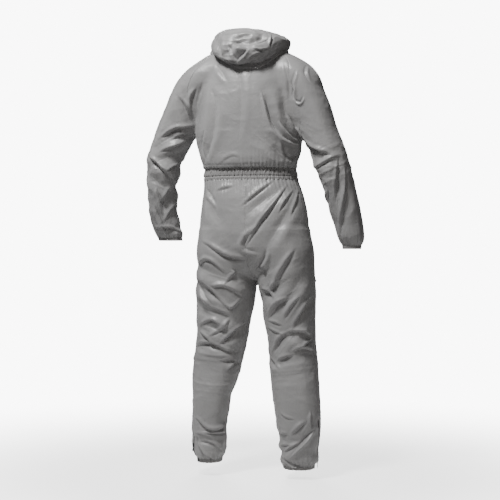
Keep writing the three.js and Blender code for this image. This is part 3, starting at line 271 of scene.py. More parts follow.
def steepest(p):
    nudge = 0.5
    g = np.empty(p.shape)
    for axis in range(3):
        step = np.zeros(3)
        step[axis] = nudge
        g[..., axis] = (suitDistance(p + step) - suitDistance(p - step)) / (2 * nudge)
    return g


# Move points onto the suit's surface, along its slope or level
def lay(p, level=False, steps=6):
    q = np.array(p, float)
    for _ in range(steps):
        g = steepest(q)
        if level:
            g[..., 2] = 0
        step = g * (suitDistance(q) / np.maximum((g * g).sum(-1), 0.05))[..., None]
        q -= step * np.minimum(1, 20 / np.maximum(lengthOf(step), 1e-9))[..., None]
    return q


# A centripetal curve through its stops, read at evenly spaced places
def curveThrough(stops, count):
    p = np.array(stops, float)
    p = np.concatenate([[2 * p[0] - p[1]], p, [2 * p[-1] - p[-2]]])
    last = len(p) - 3
    at = np.linspace(0, last, count + 1)
    k = np.minimum(at.astype(int), last - 1)
    w = (at - k).reshape((-1,) + (1,) * (p.ndim - 1))
    gap = np.sqrt(lengthOf(np.diff(p, axis=0)))[..., None]
    g0, g1, g2 = gap[k], gap[k + 1], gap[k + 2]
    g1 = np.where(g1 < 1e-4, 1, g1)
    g0 = np.where(g0 < 1e-4, g1, g0)
    g2 = np.where(g2 < 1e-4, g1, g2)
    a, b, c, d = p[k], p[k + 1], p[k + 2], p[k + 3]
    m1 = ((b - a) / g0 - (c - a) / (g0 + g1) + (c - b) / g1) * g1
    m2 = ((c - b) / g1 - (d - b) / (g1 + g2) + (d - c) / g2) * g1
    return b + m1 * w + (-3 * b + 3 * c - 2 * m1 - m2) * w ** 2 + (2 * b - 2 * c + m1 + m2) * w ** 3


def spaced(line, count, low=0.0, high=0.0):
    along = runLengths(line)
    return readAt(np.linspace(low, along[-1] - high, count + 1), along, line)


# A seam is its fine points with the marks of its coarse cells
def seam(controls, cells, fine, level=False):
    line = lay(curveThrough(controls, 120), level)
    made = spaced(line, cells * fine)
    made[1:-1] = lay(made[1:-1], level, 3)
    return {"p": made, "marks": np.arange(cells + 1) * fine}


def join(*parts):
    p, marks = parts[0]["p"], parts[0]["marks"]
    for part in parts[1:]:
        marks = np.concatenate([marks, part["marks"][1:] + len(p) - 1])
        p = np.vstack([p, part["p"][1:]])
    return {"p": p, "marks": marks}


def flip(line):
    return {"p": line["p"][::-1], "marks": (len(line["p"]) - 1 - line["marks"])[::-1]}


def smoothWeights(marks):
    at = np.interp(np.arange(marks[-1] + 1), marks, np.arange(len(marks)))
    count = len(marks)
    k = np.clip(at.astype(int), 0, count - 2)
    w = at - k
    share = [(-w + 2 * w ** 2 - w ** 3) / 2, (2 - 5 * w ** 2 + 3 * w ** 3) / 2]
    share += [(w + 4 * w ** 2 - 3 * w ** 3) / 2, (w ** 3 - w ** 2) / 2]
    made = np.zeros((len(at), count + 2))
    rows = np.arange(len(at))
    for i in range(4):
        made[rows, k + i] += share[i]
    inner = made[:, 1:-1].copy()
    inner[:, 0] += 2 * made[:, 0]
    inner[:, 1] -= made[:, 0]
    inner[:, -1] += 2 * made[:, -1]
    inner[:, -2] -= made[:, -1]
    return inner, at


# A cloth grid between four seams, laid on the suit: rows from bottom to top, columns left to right
def spread(bottom, top, left, right):
    b, t = bottom["p"][bottom["marks"]], top["p"][top["marks"]]
    l, r = left["p"][left["marks"]], right["p"][right["marks"]]
    v = np.linspace(0, 1, len(l))[:, None, None]
    u = np.linspace(0, 1, len(b))[None, :, None]
    grid = b * (1 - v) + t * v + l[:, None] * (1 - u) + r[:, None] * u
    grid -= (b[0] * (1 - u) + b[-1] * u) * (1 - v) + (t[0] * (1 - u) + t[-1] * u) * v
    grid[:, 0], grid[:, -1], grid[0], grid[-1] = l, r, b, t
    for n in range(8):
        mean = grid[:-2, 1:-1] + grid[2:, 1:-1] + grid[1:-1, :-2] + grid[1:-1, 2:]
        grid[1:-1, 1:-1] = lay(mean / 4, False, 2 if n else 8)
    rowShare, rowAt = smoothWeights(left["marks"])
    columnShare, columnAt = smoothWeights(bottom["marks"])
    fine = np.einsum("ri,ijk,cj->rck", rowShare, grid, columnShare)
    fadeLow = np.clip(1 - rowAt, 0, 1)[:, None, None]
    fadeHigh = np.clip(1 - (rowAt[-1] - rowAt), 0, 1)[:, None, None]
    fine += (bottom["p"] - fine[0]) * fadeLow + (top["p"] - fine[-1]) * fadeHigh
    fadeLow = np.clip(1 - columnAt, 0, 1)[None, :, None]
    fadeHigh = np.clip(1 - (columnAt[-1] - columnAt), 0, 1)[None, :, None]
    fine += (left["p"] - fine[:, 0])[:, None] * fadeLow + (right["p"] - fine[:, -1])[:, None] * fadeHigh
    fine[1:-1, 1:-1] = lay(fine[1:-1, 1:-1], False, 2)
    fine[:, 0], fine[:, -1], fine[0], fine[-1] = left["p"], right["p"], bottom["p"], top["p"]
    return fine


# Seams of the suit
# How finely each coarse cell is divided
fineness = {
    "sideSeam": 9, "raglan": 15, "across": 9, "sleeveNeck": 11, "sleeveLong": 11,
    "trouserAcross": 13, "rise": 12, "inseam": 12,
}
neckStops = {
    "frontLeft": [(-4, 85, -95), (-55, 72, -75), (-95, 50, -45)],
    "sleeveFrontLeft": [(-95, 50, -45), (-125, 20, -20), (-137, -15, -10)],
    "sleeveBackLeft": [(-137, -15, -10), (-130, -38, -12), (-116, -55, -17)],
    "back": [(-116, -55, -17), (-80, -80, -35), (-13, -115, -71), (56, -116, -71), (90, -104, -51), (136, -60, -7)],
    "sleeveBackRight": [(136, -60, -7), (142, -42, -2), (144, -20, 2)],
    "sleeveFrontRight": [(144, -20, 2), (128, 25, -18), (98, 52, -45)],
    "frontRight": [(98, 52, -45), (52, 74, -76), (-4, 85, -95)],
}
seamStops = {
    "sideLeft": [(-157, -2, -407), (-180, -4, -345), (-196, -5, -288)],
    "sideRight": [(158, -2, -407), (174, -4, -345), (186, -5, -300)],
    "raglanBackLeft": [
        (-196, -5, -288), (-194, -55, -260), (-197, -90, -200), (-200, -93, -147),
        (-196, -92, -119), (-156, -80, -45), (-116, -55, -17),
    ],
    "raglanBackRight": [
        (186, -5, -300), (192, -60, -275), (192, -95, -231), (174, -93, -150),
        (163, -95, -98), (158, -85, -45), (136, -60, -7),
    ],
    "raglanFrontLeft": [
        (-196, -5, -288), (-192, 55, -250), (-186, 80, -190), (-168, 80, -125), (-132, 68, -75), (-95, 50, -45),
    ],
    "raglanFrontRight": [
        (186, -5, -300), (190, 50, -255), (180, 78, -190), (160, 80, -125), (128, 68, -78), (98, 52, -45),
    ],
    "centreFront": [(-11, 110, -407), (-8, 125, -285), (-6, 115, -180), (-4, 85, -95)],
    "overArmLeft": [
        (-137, -15, -10), (-216, -8, -52), (-276, -8, -136), (-364, -6, -392), (-357, 29, -560), (-326, 52, -643),
    ],
    "overArmRight": [
        (144, -20, 2), (213, -8, -52), (256, -8, -136), (343, -6, -388), (381, 29, -556), (384, 52, -675),
    ],
    "underArmLeft": [(-196, -5, -288), (-222, -8, -330), (-249, -6, -392), (-262, 29, -560), (-251, 52, -643)],
    "underArmRight": [(186, -5, -300), (206, -8, -336), (238, -4, -430), (280, 29, -556), (318, 52, -675)],
    "sideLegLeftUpper": [(-161, 0, -447), (-180, -8, -600), (-188, -16, -790)],
    "sideLegLeftLower": [
        (-188, -16, -790), (-190, -20, -1000), (-203, -20, -1092), (-200, -50, -1220), (-190, -72, -1330),
        (-172, -62, -1418),
    ],
    "sideLegRightUpper": [(164, 0, -447), (200, -8, -600), (223, -16, -790)],
    "sideLegRightLower": [
        (223, -16, -790), (222, -20, -1000), (228, -25, -1092), (234, -42, -1220), (238, -26, -1330),
        (244, -14, -1435),
    ],
    "centreBack": [
        (21, -116, -447), (21, -140, -580), (23, -138, -690), (26, -90, -765), (27, -40, -793), (27, 0, -806),
    ],
    "centreFrontRise": [
        (-11, 110, -447), (-10, 116, -560), (4, 100, -690), (20, 62, -765), (26, 30, -793), (27, 0, -806),
    ],
    "inseamLeft": [
        (27, 0, -806), (11, -4, -870), (-17, 0, -1000), (-40, 4, -1092), (-76, -10, -1200), (-91, -20, -1300),
        (-108, -20, -1418),
    ],
    "inseamRight": [
        (27, 0, -806), (41, -4, -870), (59, 0, -1000), (65, 4, -1092), (77, -10, -1200), (91, -20, -1300),
        (112, -20, -1435),
    ],
}


def namedSeam(name, cells, kind, stops=seamStops):
    return seam(stops[name], cells, fineness[kind])


def levelStart(line, stop):
    line["p"][0] = lay(np.array([stop], float), True)[0]


def levelEnd(line, height):
    end = line["p"][-1].copy()
    end[2] = height
    line["p"][-1] = lay(end[None], True)[0]
    easeOut = np.linspace(0, 1, 9)[1:-1, None]
    line["p"][-8:-1] = line["p"][-9] * (1 - easeOut) + line["p"][-1] * easeOut
    line["p"][-8:-1] = lay(line["p"][-8:-1], False, 3)


def levelSeam(first, via, last, cells, fine):
    return seam(curveThrough([first, via, last], 8), cells, fine, True)


side = {"left": namedSeam("sideLeft", 5, "sideSeam"), "right": namedSeam("sideRight", 5, "sideSeam")}
levelStart(side["left"], seamStops["sideLeft"][0])
levelStart(side["right"], seamStops["sideRight"][0])
raglan = {key: namedSeam("raglan" + key, 7, "raglan") for key in ("BackLeft", "BackRight", "FrontLeft", "FrontRight")}
neckline = {
    key: namedSeam(key, cells, kind, neckStops)
    for key, cells, kind in (
        ("frontLeft", 8, "across"), ("sleeveFrontLeft", 2, "sleeveNeck"), ("sleeveBackLeft", 2, "sleeveNeck"),
        ("back", 16, "across"), ("sleeveBackRight", 2, "sleeveNeck"), ("sleeveFrontRight", 2, "sleeveNeck"),
        ("frontRight", 8, "across"),
    )
}
neckRound = join(*neckline.values())
upperMarks = join(side["left"], raglan["BackLeft"])["marks"]


# A seam whose cells take their number of fine points from another one
def seamLike(controls, marks, level=False):
    line = lay(curveThrough(controls, 120), level)
    along = runLengths(line)
    at = np.interp(np.arange(marks[-1] + 1), marks, np.linspace(0, along[-1], len(marks)))
    made = readAt(at, along, line)
    made[1:-1] = lay(made[1:-1], level, 3)
    return {"p": made, "marks": marks}


centreFront = seamLike(seamStops["centreFront"], upperMarks)
levelStart(centreFront, seamStops["centreFront"][0])
hemZ = sizes["bodiceHem"]
leftEdge, rightEdge = side["left"]["p"][0], side["right"]["p"][0]
waistBack = levelSeam(leftEdge, (0, -118, hemZ), rightEdge, 16, fineness["across"])
waistFrontLeft = levelSeam(leftEdge, (-95, 88, hemZ), centreFront["p"][0], 8, fineness["across"])
waistFrontRight = levelSeam(centreFront["p"][0], (88, 88, hemZ), rightEdge, 8, fineness["across"])

grids = {
    "bodice_back": spread(
        waistBack, neckline["back"], join(side["left"], raglan["BackLeft"]), join(side["right"], raglan["BackRight"])
    ),
    "bodice_front_left": spread(
        waistFrontLeft, flip(neckline["frontLeft"]), join(side["left"], raglan["FrontLeft"]), centreFront
    ),
    "bodice_front_right": spread(
        waistFrontRight, flip(neckline["frontRight"]), centreFront, join(side["right"], raglan["FrontRight"])
    ),
}
print("bodice laid")

arm = {}
for key in ("underArmLeft", "underArmRight", "overArmLeft", "overArmRight"):
    arm[key] = namedSeam(key, 20, "sleeveLong")
    levelEnd(arm[key], sizes["leftCuff" if key.endswith("Left") else "rightCuff"])
cuffMiddle = {"Left": (-288, 54), "Right": (351, 51)}


def sleeveHalf(name, raglanSeam, neckSeam, which, y, height):
    head = join(raglanSeam, neckSeam)
    under, over = arm["underArm" + which], arm["overArm" + which]
    x, middle = cuffMiddle[which]
    stops = curveThrough([under["p"][-1], (x, middle + y, height), over["p"][-1]], 8)
    wrist = seamLike(stops, head["marks"], True)
    wrist["p"][:, 2] = height
    grids[name] = spread(head, wrist, under, over)


sleeveHalf("sleeve_left_back", raglan["BackLeft"], flip(neckline["sleeveBackLeft"]), "Left", -36, sizes["leftCuff"])
sleeveHalf("sleeve_left_front", raglan["FrontLeft"], neckline["sleeveFrontLeft"], "Left", 36, sizes["leftCuff"])
sleeveHalf("sleeve_right_back", raglan["BackRight"], neckline["sleeveBackRight"], "Right", -36, sizes["rightCuff"])
sleeveHalf(
    "sleeve_right_front", raglan["FrontRight"], flip(neckline["sleeveFrontRight"]), "Right", 36, sizes["rightCuff"]
)
print("sleeves laid")


def sideLeg(which, height):
    upper, lower = seamStops[f"sideLeg{which}Upper"], seamStops[f"sideLeg{which}Lower"]
    line = join(seam(upper, 11, fineness["rise"]), seam(lower, 18, fineness["inseam"]))
    levelStart(line, upper[0])
    levelEnd(line, height)
    return line


legSeams = {
    "sideLeft": sideLeg("Left", sizes["leftHem"]),
    "sideRight": sideLeg("Right", sizes["rightHem"]),
    "back": namedSeam("centreBack", 11, "rise"),
    "front": namedSeam("centreFrontRise", 11, "rise"),
    "inLeft": namedSeam("inseamLeft", 18, "inseam"),
    "inRight": namedSeam("inseamRight", 18, "inseam"),
}
levelStart(legSeams["back"], seamStops["centreBack"][0])
levelStart(legSeams["front"], seamStops["centreFrontRise"][0])
fork = lay(np.array([[27.0, 0, sizes["fork"]]]))[0]
legSeams["back"]["p"][-1] = legSeams["front"]["p"][-1] = fork
legSeams["inLeft"]["p"][0] = legSeams["inRight"]["p"][0] = fork
levelEnd(legSeams["inLeft"], sizes["leftHem"])
levelEnd(legSeams["inRight"], sizes["rightHem"])


def trouserPanel(name, outside, rise, inseam, waistVia, hemVia):
    inside = join(legSeams[rise], legSeams[inseam])
    outside = legSeams[outside]
    fine = fineness["trouserAcross"]
    waist = levelSeam(outside["p"][0], (*waistVia, sizes["waistbandHem"]), inside["p"][0], 8, fine)
    hem = levelSeam(outside["p"][-1], (*hemVia, inside["p"][-1][2]), inside["p"][-1], 8, fine)
    grids[name] = spread(waist, hem, outside, inside)


trouserPanel("trouser_back_left", "sideLeft", "back", "inLeft", (-95, -95), (-142, -72))
trouserPanel("trouser_back_right", "sideRight", "back", "inRight", (110, -92), (152, -76))
trouserPanel("trouser_front_left", "sideLeft", "front", "inLeft", (-105, 88), (-165, 22))
trouserPanel("trouser_front_right", "sideRight", "front", "inRight", (95, 92), (190, 24))
print("trousers laid")

# The largest folds of the cut: seen from behind (-1) or the front (1), from, by way of, to (x, z), width, depth
mainFolds = [
    (-1, (-216, -150), (-219, -190), (-203, -262), 18, 8),
    (-1, (133, -160), (146, -230), (172, -300), 18, 9),
    (-1, (80, -150), (105, -250), (160, -325), 20, 8),
    (-1, (-88, -110), (-78, -200), (-100, -330), 24, 5),
    (-1, (-130, -330), (-120, -365), (-118, -392), 18, 5),
    (-1, (100, -330), (125, -360), (150, -385), 20, 8),
    (-1, (-318, -330), (-268, -300), (-212, -286), 18, 10),
    (-1, (-345, -400), (-300, -375), (-240, -345), 18, 8),
    (-1, (-355, -420), (-320, -455), (-285, -490), 18, 9),
    (-1, (-300, -520), (-275, -475), (-262, -430), 18, 8),
    (-1, (-310, -500), (-300, -560), (-285, -610), 18, 7),
    (-1, (-340, -616), (-300, -618), (-262, -606), 14, 7),
    (-1, (205, -320), (255, -375), (305, -388), 20, 9),
    (-1, (322, -395), (322, -470), (316, -590), 18, 9),
    (-1, (345, -440), (352, -520), (328, -620), 16, 6),
    (-1, (24, -575), (70, -535), (125, -490), 18, 8),
    (-1, (92, -690), (130, -620), (165, -545), 18, 8),
    (-1, (-120, -500), (-95, -560), (-60, -600), 20, 6),
    (-1, (-190, -735), (-110, -770), (10, -800), 20, 9),
    (-1, (-180, -800), (-130, -830), (-75, -848), 18, 9),
    (-1, (40, -740), (75, -770), (85, -830), 20, 10),
    (-1, (60, -860), (110, -830), (165, -790), 20, 10),
    (-1, (125, -900), (165, -850), (205, -780), 20, 8),
    (-1, (-150, -895), (-95, -910), (-40, -930), 18, 9),
    (-1, (-165, -870), (-130, -920), (-95, -975), 18, 7),
    (-1, (-160, -955), (-110, -960), (-55, -990), 18, 8),
    (-1, (-84, -1020), (-44, -985), (-4, -948), 18, 7),
    (-1, (-190, -1040), (-118, -1020), (-42, -1044), 16, 8),
    (-1, (-88, -1080), (-62, -1072), (-36, -1080), 14, 6),
    (-1, (175, -963), (208, -907), (233, -858), 16, 6),
    (-1, (106, -1052), (152, -986), (226, -992), 17, 9),
    (-1, (176, -1048), (205, -1037), (234, -1043), 14, 3),
    (-1, (75, -1060), (100, -1075), (125, -1080), 14, 7),
    (-1, (-195, -1340), (-140, -1352), (-98, -1350), 15, 10),
    (-1, (-185, -1365), (-150, -1375), (-105, -1382), 14, 8),
    (-1, (110, -1395), (150, -1370), (205, -1330), 16, 10),
    (-1, (100, -1350), (130, -1345), (165, -1340), 14, 7),
    (1, (-120, -130), (-128, -200), (-170, -270), 20, 8),
    (1, (112, -135), (118, -210), (150, -275), 20, 7),
    (1, (-60, -230), (-80, -300), (-95, -380), 22, 6),
    (1, (70, -210), (90, -300), (100, -380), 22, 6),
    (1, (-350, -380), (-310, -395), (-262, -385), 18, 9),
    (1, (-345, -450), (-310, -440), (-268, -450), 18, 8),
    (1, (240, -380), (285, -400), (335, -390), 18, 9),
    (1, (265, -450), (305, -455), (350, -440), 18, 8),
    (1, (-20, -760), (-80, -735), (-160, -690), 20, 9),
    (1, (45, -760), (110, -735), (190, -690), 20, 9),
    (1, (-10, -700), (-60, -660), (-120, -600), 20, 7),
    (1, (30, -700), (80, -660), (150, -610), 20, 7),
    (1, (-180, -1045), (-110, -1060), (-50, -1045), 18, 8),
    (1, (75, -1045), (140, -1060), (210, -1045), 18, 8),
    (1, (-190, -1320), (-145, -1300), (-100, -1325), 18, 9),
    (1, (100, -1330), (160, -1305), (225, -1325), 18, 9),
    (1, (-190, -1370), (-145, -1355), (-100, -1375), 16, 7),
    (1, (108, -1385), (160, -1365), (220, -1385), 16, 7),
]

# Creases by their place in the back view, in steps of 3.5 mm across and down: points, width, depth, ridge side
viewStep = 3.5
viewZero = (250, 53)
creases = [
    # back of the bodice
    ([(196.5, 88), (191.5, 99), (191, 120)], 6, 5, "left"),
    ([(179, 97), (186, 110), (192, 127)], 7, 4, "up"),
    ([(213, 89), (215.5, 99), (214, 135), (206, 162)], 14, 4, "right"),
    ([(265, 96), (271, 120), (280, 135), (300, 145)], 8, 6, "left"),
    ([(278, 120), (286, 131), (296, 140)], 6, 5, "left"),
    ([(287, 114), (293, 125), (297, 135)], 5, 4, "left"),
    ([(280, 141), (288, 158), (298, 154)], 8, 5, "left"),
    ([(217, 66), (222, 72), (228, 82)], 9, 3, "left"),
    ([(203, 82), (200, 92), (196, 106)], 6, 3, "right"),
    ([(285, 66), (290, 82), (291, 100)], 6, 3, "left"),
    ([(296, 72), (293, 84), (297, 98)], 5, 3.5, "right"),
    ([(306, 66), (304, 74), (308, 82)], 5, 3, "right"),
    ([(262, 92), (268, 112), (272, 128)], 5, 3.5, "left"),
    ([(292, 128), (297, 137), (301, 146)], 5, 5, "right"),
    ([(240, 70), (242, 100), (240, 140)], 12, 2.2, "right"),
    ([(206, 130), (203, 146), (207, 160)], 7, 3, "right"),
    ([(222, 163), (233, 157), (240, 158)], 6, 1.2, "up"),
    # left sleeve
    ([(192, 127), (177, 130), (162, 139)], 6, 5, "up"),
    ([(190, 134), (181, 136), (172, 140)], 5, 3, "up"),
    ([(186, 140), (174, 147), (161, 153)], 6, 4, "up"),
    ([(150, 158), (160, 168), (170, 178)], 7, 7, "up"),
    ([(166, 170), (172, 167), (179, 162)], 5, 4, "up"),
    ([(158, 187), (162, 203), (164, 214)], 6, 5, "left"),
    ([(162, 204), (166, 195), (172, 185)], 6, 4, "left"),
    ([(166, 221), (170, 212), (175, 203)], 6, 4, "left"),
    ([(156, 206), (161, 219), (166, 232)], 6, 4, "left"),
    ([(153, 228), (167, 228), (180, 233)], 5, 4, "up"),
    # right sleeve
    ([(295, 86), (294, 94), (297, 101)], 5, 4, "right"),
    ([(297, 100), (301, 102), (304, 97)], 3.5, 4, "down"),
    ([(303, 138), (315, 150), (331, 156)], 7, 5, "up"),
    ([(318, 168), (325, 164), (333, 158)], 6, 5, "up"),
    ([(338, 160), (338, 180), (337, 200)], 6, 4, "left"),
    ([(344, 167), (346, 184), (343, 220), (342, 236)], 6, 4, "left"),
    ([(330, 190), (330, 196), (331, 204)], 6, 5, "left"),
    # seat and thighs
    ([(273, 183), (258, 195), (243, 207)], 6, 3, "up"),
    ([(286, 188), (273, 208), (260, 226), (246, 248)], 6, 5, "left"),
    ([(292, 192), (285, 203), (279, 213)], 5, 3, "left"),
    ([(298, 192), (295, 204), (290, 217)], 5, 3, "left"),
    ([(259, 229), (250, 236), (245, 247), (259, 252)], 8, 4, "up"),
    ([(267, 249), (264, 259), (256, 268)], 7, 5, "right"),
    ([(294, 251), (285, 268), (273, 291)], 8, 5, "left"),
    ([(208, 190), (212, 196), (218, 206)], 7, 4, "left"),
    ([(218, 192), (226, 190), (234, 188)], 6, 2.5, "up"),
    ([(204, 243), (226, 257), (247, 259)], 8, 5, "up"),
    # left leg
    ([(199, 266), (208, 261), (225, 274)], 6, 4, "up"),
    ([(232, 268), (236, 271), (225, 285)], 6, 4, "left"),
    ([(213, 287), (225, 287), (241, 297)], 6, 4, "up"),
    ([(225, 305), (230, 309), (241, 298)], 5, 4, "up"),
    ([(199, 284), (206, 295), (214, 305)], 6, 4, "left"),
    ([(205, 284), (215, 295), (225, 306)], 6, 4, "up"),
    ([(209, 307), (219, 311), (229, 316)], 5, 3, "up"),
    ([(202, 326), (212, 321), (220, 325)], 5, 4, "up"),
    ([(230, 319), (225, 328), (211, 337)], 6, 4, "left"),
    ([(244, 323), (232, 334), (221, 344)], 6, 5, "left"),
    ([(201, 332), (207, 338), (213, 344)], 5, 4, "right"),
    ([(194.6, 349), (201, 345), (212, 345), (228, 352), (233, 349)], 6, 5, "up"),
    ([(235, 361), (228, 361), (220, 361)], 5, 4, "up"),
    ([(226, 371), (230, 367), (235, 362)], 5, 4, "up"),
    ([(196, 416), (208, 430), (219, 430), (225, 424)], 6, 6, "up"),
    ([(203, 433), (215, 434), (225, 433)], 4, 4, "up"),
    ([(197, 433), (204, 435), (211, 438)], 4, 3, "up"),
    ([(200, 441), (211, 444), (221, 451)], 5, 4, "up"),
    ([(196, 418), (196, 430), (200, 446)], 4, 4, "right"),
    ([(197, 440), (202, 450), (209, 460)], 4, 4, "right"),
    ([(204, 452), (210, 457), (216, 461)], 3.5, 3, "up"),
    # right leg
    ([(280, 281), (276, 286), (272, 291)], 6, 4, "left"),
    ([(263, 290), (269, 295), (275, 299)], 8, 5, "up"),
    ([(290, 299), (279, 305), (271, 319)], 7, 5, "left"),
    ([(298, 297), (291, 308), (285, 319)], 6, 4, "left"),
    ([(310, 297), (302, 312), (293, 328)], 7, 5, "left"),
    ([(270, 321), (276, 323), (283, 326)], 4, 3, "up"),
    ([(270, 328), (276, 332), (283, 335)], 4, 3, "up"),
    ([(288, 332), (301, 333), (309, 336)], 5, 5, "up"),
    ([(289, 333), (282, 339), (274, 354)], 6, 5, "left"),
    ([(301, 347), (306, 344), (311, 340)], 5, 4, "up"),
    ([(293, 352), (300, 349), (312, 351)], 5, 4, "up"),
    ([(279, 361), (286, 358), (293, 356)], 5, 4, "up"),
    ([(270, 359), (275, 364), (281, 370)], 5, 3, "right"),
    ([(299, 444), (293, 448), (286, 452)], 5, 5, "up"),
    ([(306, 422), (300, 428), (293, 435)], 6, 4, "up"),
    ([(280, 433), (285, 434), (289, 435)], 4, 3, "up"),
    ([(281, 446), (286, 446), (292, 446)], 4, 3, "up"),
    ([(313, 429), (304, 439), (291, 456)], 5, 6, "right"),
    ([(282, 456), (292, 463), (304, 467)], 4.5, 6, "down"),
    ([(281, 455), (286, 461), (293, 466)], 3.5, 3, "down"),
    ([(310, 412), (310, 419), (310.5, 426)], 4.5, 6, "left"),
    ([(281, 413), (287, 418), (295, 420)], 4, 2.5, "up"),
]
# The ridge beside a crease: height, place and width; the trough: slimness, edge and depth; its ends
creaseLook = {
    "ridge": 0.85, "ridgeAt": 1.7, "ridgeWide": 1.3, "slim": 1.25, "edge": 1.1, "deep": 1.8,
    "ends": (0.015, 0.985), "taper": 0.75, "narrowest": 0.55,
}
foldLook = {"ridge": 0.55, "ridgeAt": 1.5, "ends": (0.06, 0.94), "taper": 0.6}
rayLook = {"start": 3800.0, "leastStep": 0.2, "beyond": 400}
ridgeWays = {"up": (0, 1), "down": (0, -1), "left": (-1, 0), "right": (1, 0)}


def sideVectors(line, n):
    return np.cross(np.gradient(line, axis=0), n)


def mainFoldLines():
    made = []
    for way, first, via, last, width, depth in mainFolds:
        seen = curveThrough([(x, 0, z) for x, z in (first, via, last)], 12)
        seen[:, 1] = way * 260
        for _ in range(60):
            seen[:, 1] -= way * np.maximum(suitDistance(seen), rayLook["leastStep"]) * 0.8
        made.append({"line": seen, "width": width, "depth": depth})
    return made


# Places of the back view as points of the plane through the view's middle
def inPlane(points):
    p = np.array(points, float)
    return np.stack([(p[:, 0] - viewZero[0]) * viewStep, 0 * p[:, 0], (viewZero[1] - p[:, 1]) * viewStep], 1)


# The unseen front has creases like the back's: which of them, how far moved across and down, how deep
frontCreases = {"from": 17, "shift": (3.0, 5.0), "sway": (5.0, 7.0), "deep": 0.85}


# The creases as lines on the suit, met by rays from the camera, or from as far in front
def creaseLines(inFront=False):
    made = []
    eye = viewAim + viewBack * view["distance"] * (-1 if inFront else 1)
    for number, (points, width, depth, ridge) in enumerate(creases):
        p = np.array(points, float)
        if inFront:
            if number < frontCreases["from"]:
                continue
            p[:, 0] += frontCreases["shift"][0] + frontCreases["sway"][0] * math.sin(number * 2.3)
            p[:, 1] += frontCreases["shift"][1] + frontCreases["sway"][1] * math.sin(number * 1.7 + 1)
            depth = depth * frontCreases["deep"] * (1 + 0.25 * math.sin(number * 3.1))
        p = curveThrough(inPlane(p), 10)
        target = p[:, :1] * viewRight + np.array([0, 0, 1]) * p[:, 2:]
        ray = unit(target - eye)
        far = np.full(len(p), rayLook["start"])
        for _ in range(70):
            far += np.maximum(suitDistance(eye + ray * far[:, None]), rayLook["leastStep"]) * 0.85
        hit = far < view["distance"] + rayLook["beyond"]
        if hit.sum() < 5:
            continue
        line = lay(eye + ray[hit] * far[hit, None])
        sides = sideVectors(line, unit(steepest(line))).sum(0)
        way = ridgeWays[ridge]
        if sides @ (viewRight * way[0] + np.array([0, 0, way[1]])) < 0:
            line = line[::-1]
        made.append({"line": line, "width": width, "depth": depth})
    return made


# How far the cloth moves out at p, whose outward direction is n, for a list of folds
def reliefOf(lines, p, n, crisp=False):
    height = np.zeros(len(p))
    for fold in lines:
        line, width = fold["line"], fold["width"]
        reach = 4 * width
        near = np.flatnonzero(((p > line.min(0) - reach) & (p < line.max(0) + reach)).all(1))
        if not len(near):
            continue
        q, m = p[near], n[near]
        best = np.full(len(q), np.inf)
        place, across, beyond = np.zeros(len(q)), np.zeros(len(q)), np.zeros(len(q))
        last = len(line) - 2
        for i in range(last + 1):
            run = line[i + 1] - line[i]
            t = np.clip((q - line[i]) @ run / (run @ run), 0, 1)
            off = q - line[i] - t[:, None] * run
            far = lengthOf(off)
            over = np.abs(off @ unit(run))
            over[((t > 0) | (i > 0)) & ((t < 1) | (i < last))] = 0
            beside = (off * np.cross(run, m)).sum(1)
            closer = far < best
            best = np.where(closer, far, best)
            place = np.where(closer, (i + t) / (last + 1), place)
            across = np.where(closer, np.sign(beside) * np.sqrt(np.maximum(far ** 2 - over ** 2, 0)), across)
            beyond = np.where(closer, over, beyond)
        look = creaseLook if crisp else foldLook
        taper = np.sin(np.pi * np.clip(place, *look["ends"])) ** look["taper"] * np.exp(-((beyond / width) ** 2))
        s = across / width
        if crisp:
            s = s / (look["narrowest"] + (1 - look["narrowest"]) * taper)
            bulge = look["ridge"] * np.exp(-(((s - look["ridgeAt"]) / look["ridgeWide"]) ** 2))
            shape = bulge - np.exp(-np.abs(look["slim"] * s) ** look["edge"])
            height[near] += look["deep"] * fold["depth"] * taper * shape
        else:
            shape = look["ridge"] * np.exp(-((s - look["ridgeAt"]) ** 2)) - np.exp(-s * s)
            height[near] += fold["depth"] * taper * shape
    return height


foldLines = mainFoldLines()
finerLines = creaseLines() + creaseLines(True)
print("folds placed:", len(foldLines) + len(finerLines))


# Smooth noise between 0 and 1 from hashed lattice corners, the same each run
def latticeNoise(p, seed):
    cell = np.floor(p).astype(np.int64)
    f = p - cell
    f = f ** 3 * (f * (f * 6 - 15) + 10)
    total = np.zeros(p.shape[:-1])
    for dx in (0, 1):
        for dy in (0, 1):
            for dz in (0, 1):
                h = (cell[..., 0] + dx) * 374761393 + (cell[..., 1] + dy) * 668265263
                h = h + (cell[..., 2] + dz) * 1442695041 + seed * 974634777
                h = (h ^ (h >> 13)) * 1274126177
                h = (h ^ (h >> 16)) & 65535
                share = np.abs(1 - dx - f[..., 0]) * np.abs(1 - dy - f[..., 1]) * np.abs(1 - dz - f[..., 2])
                total += share * (h / 65535)
    return total


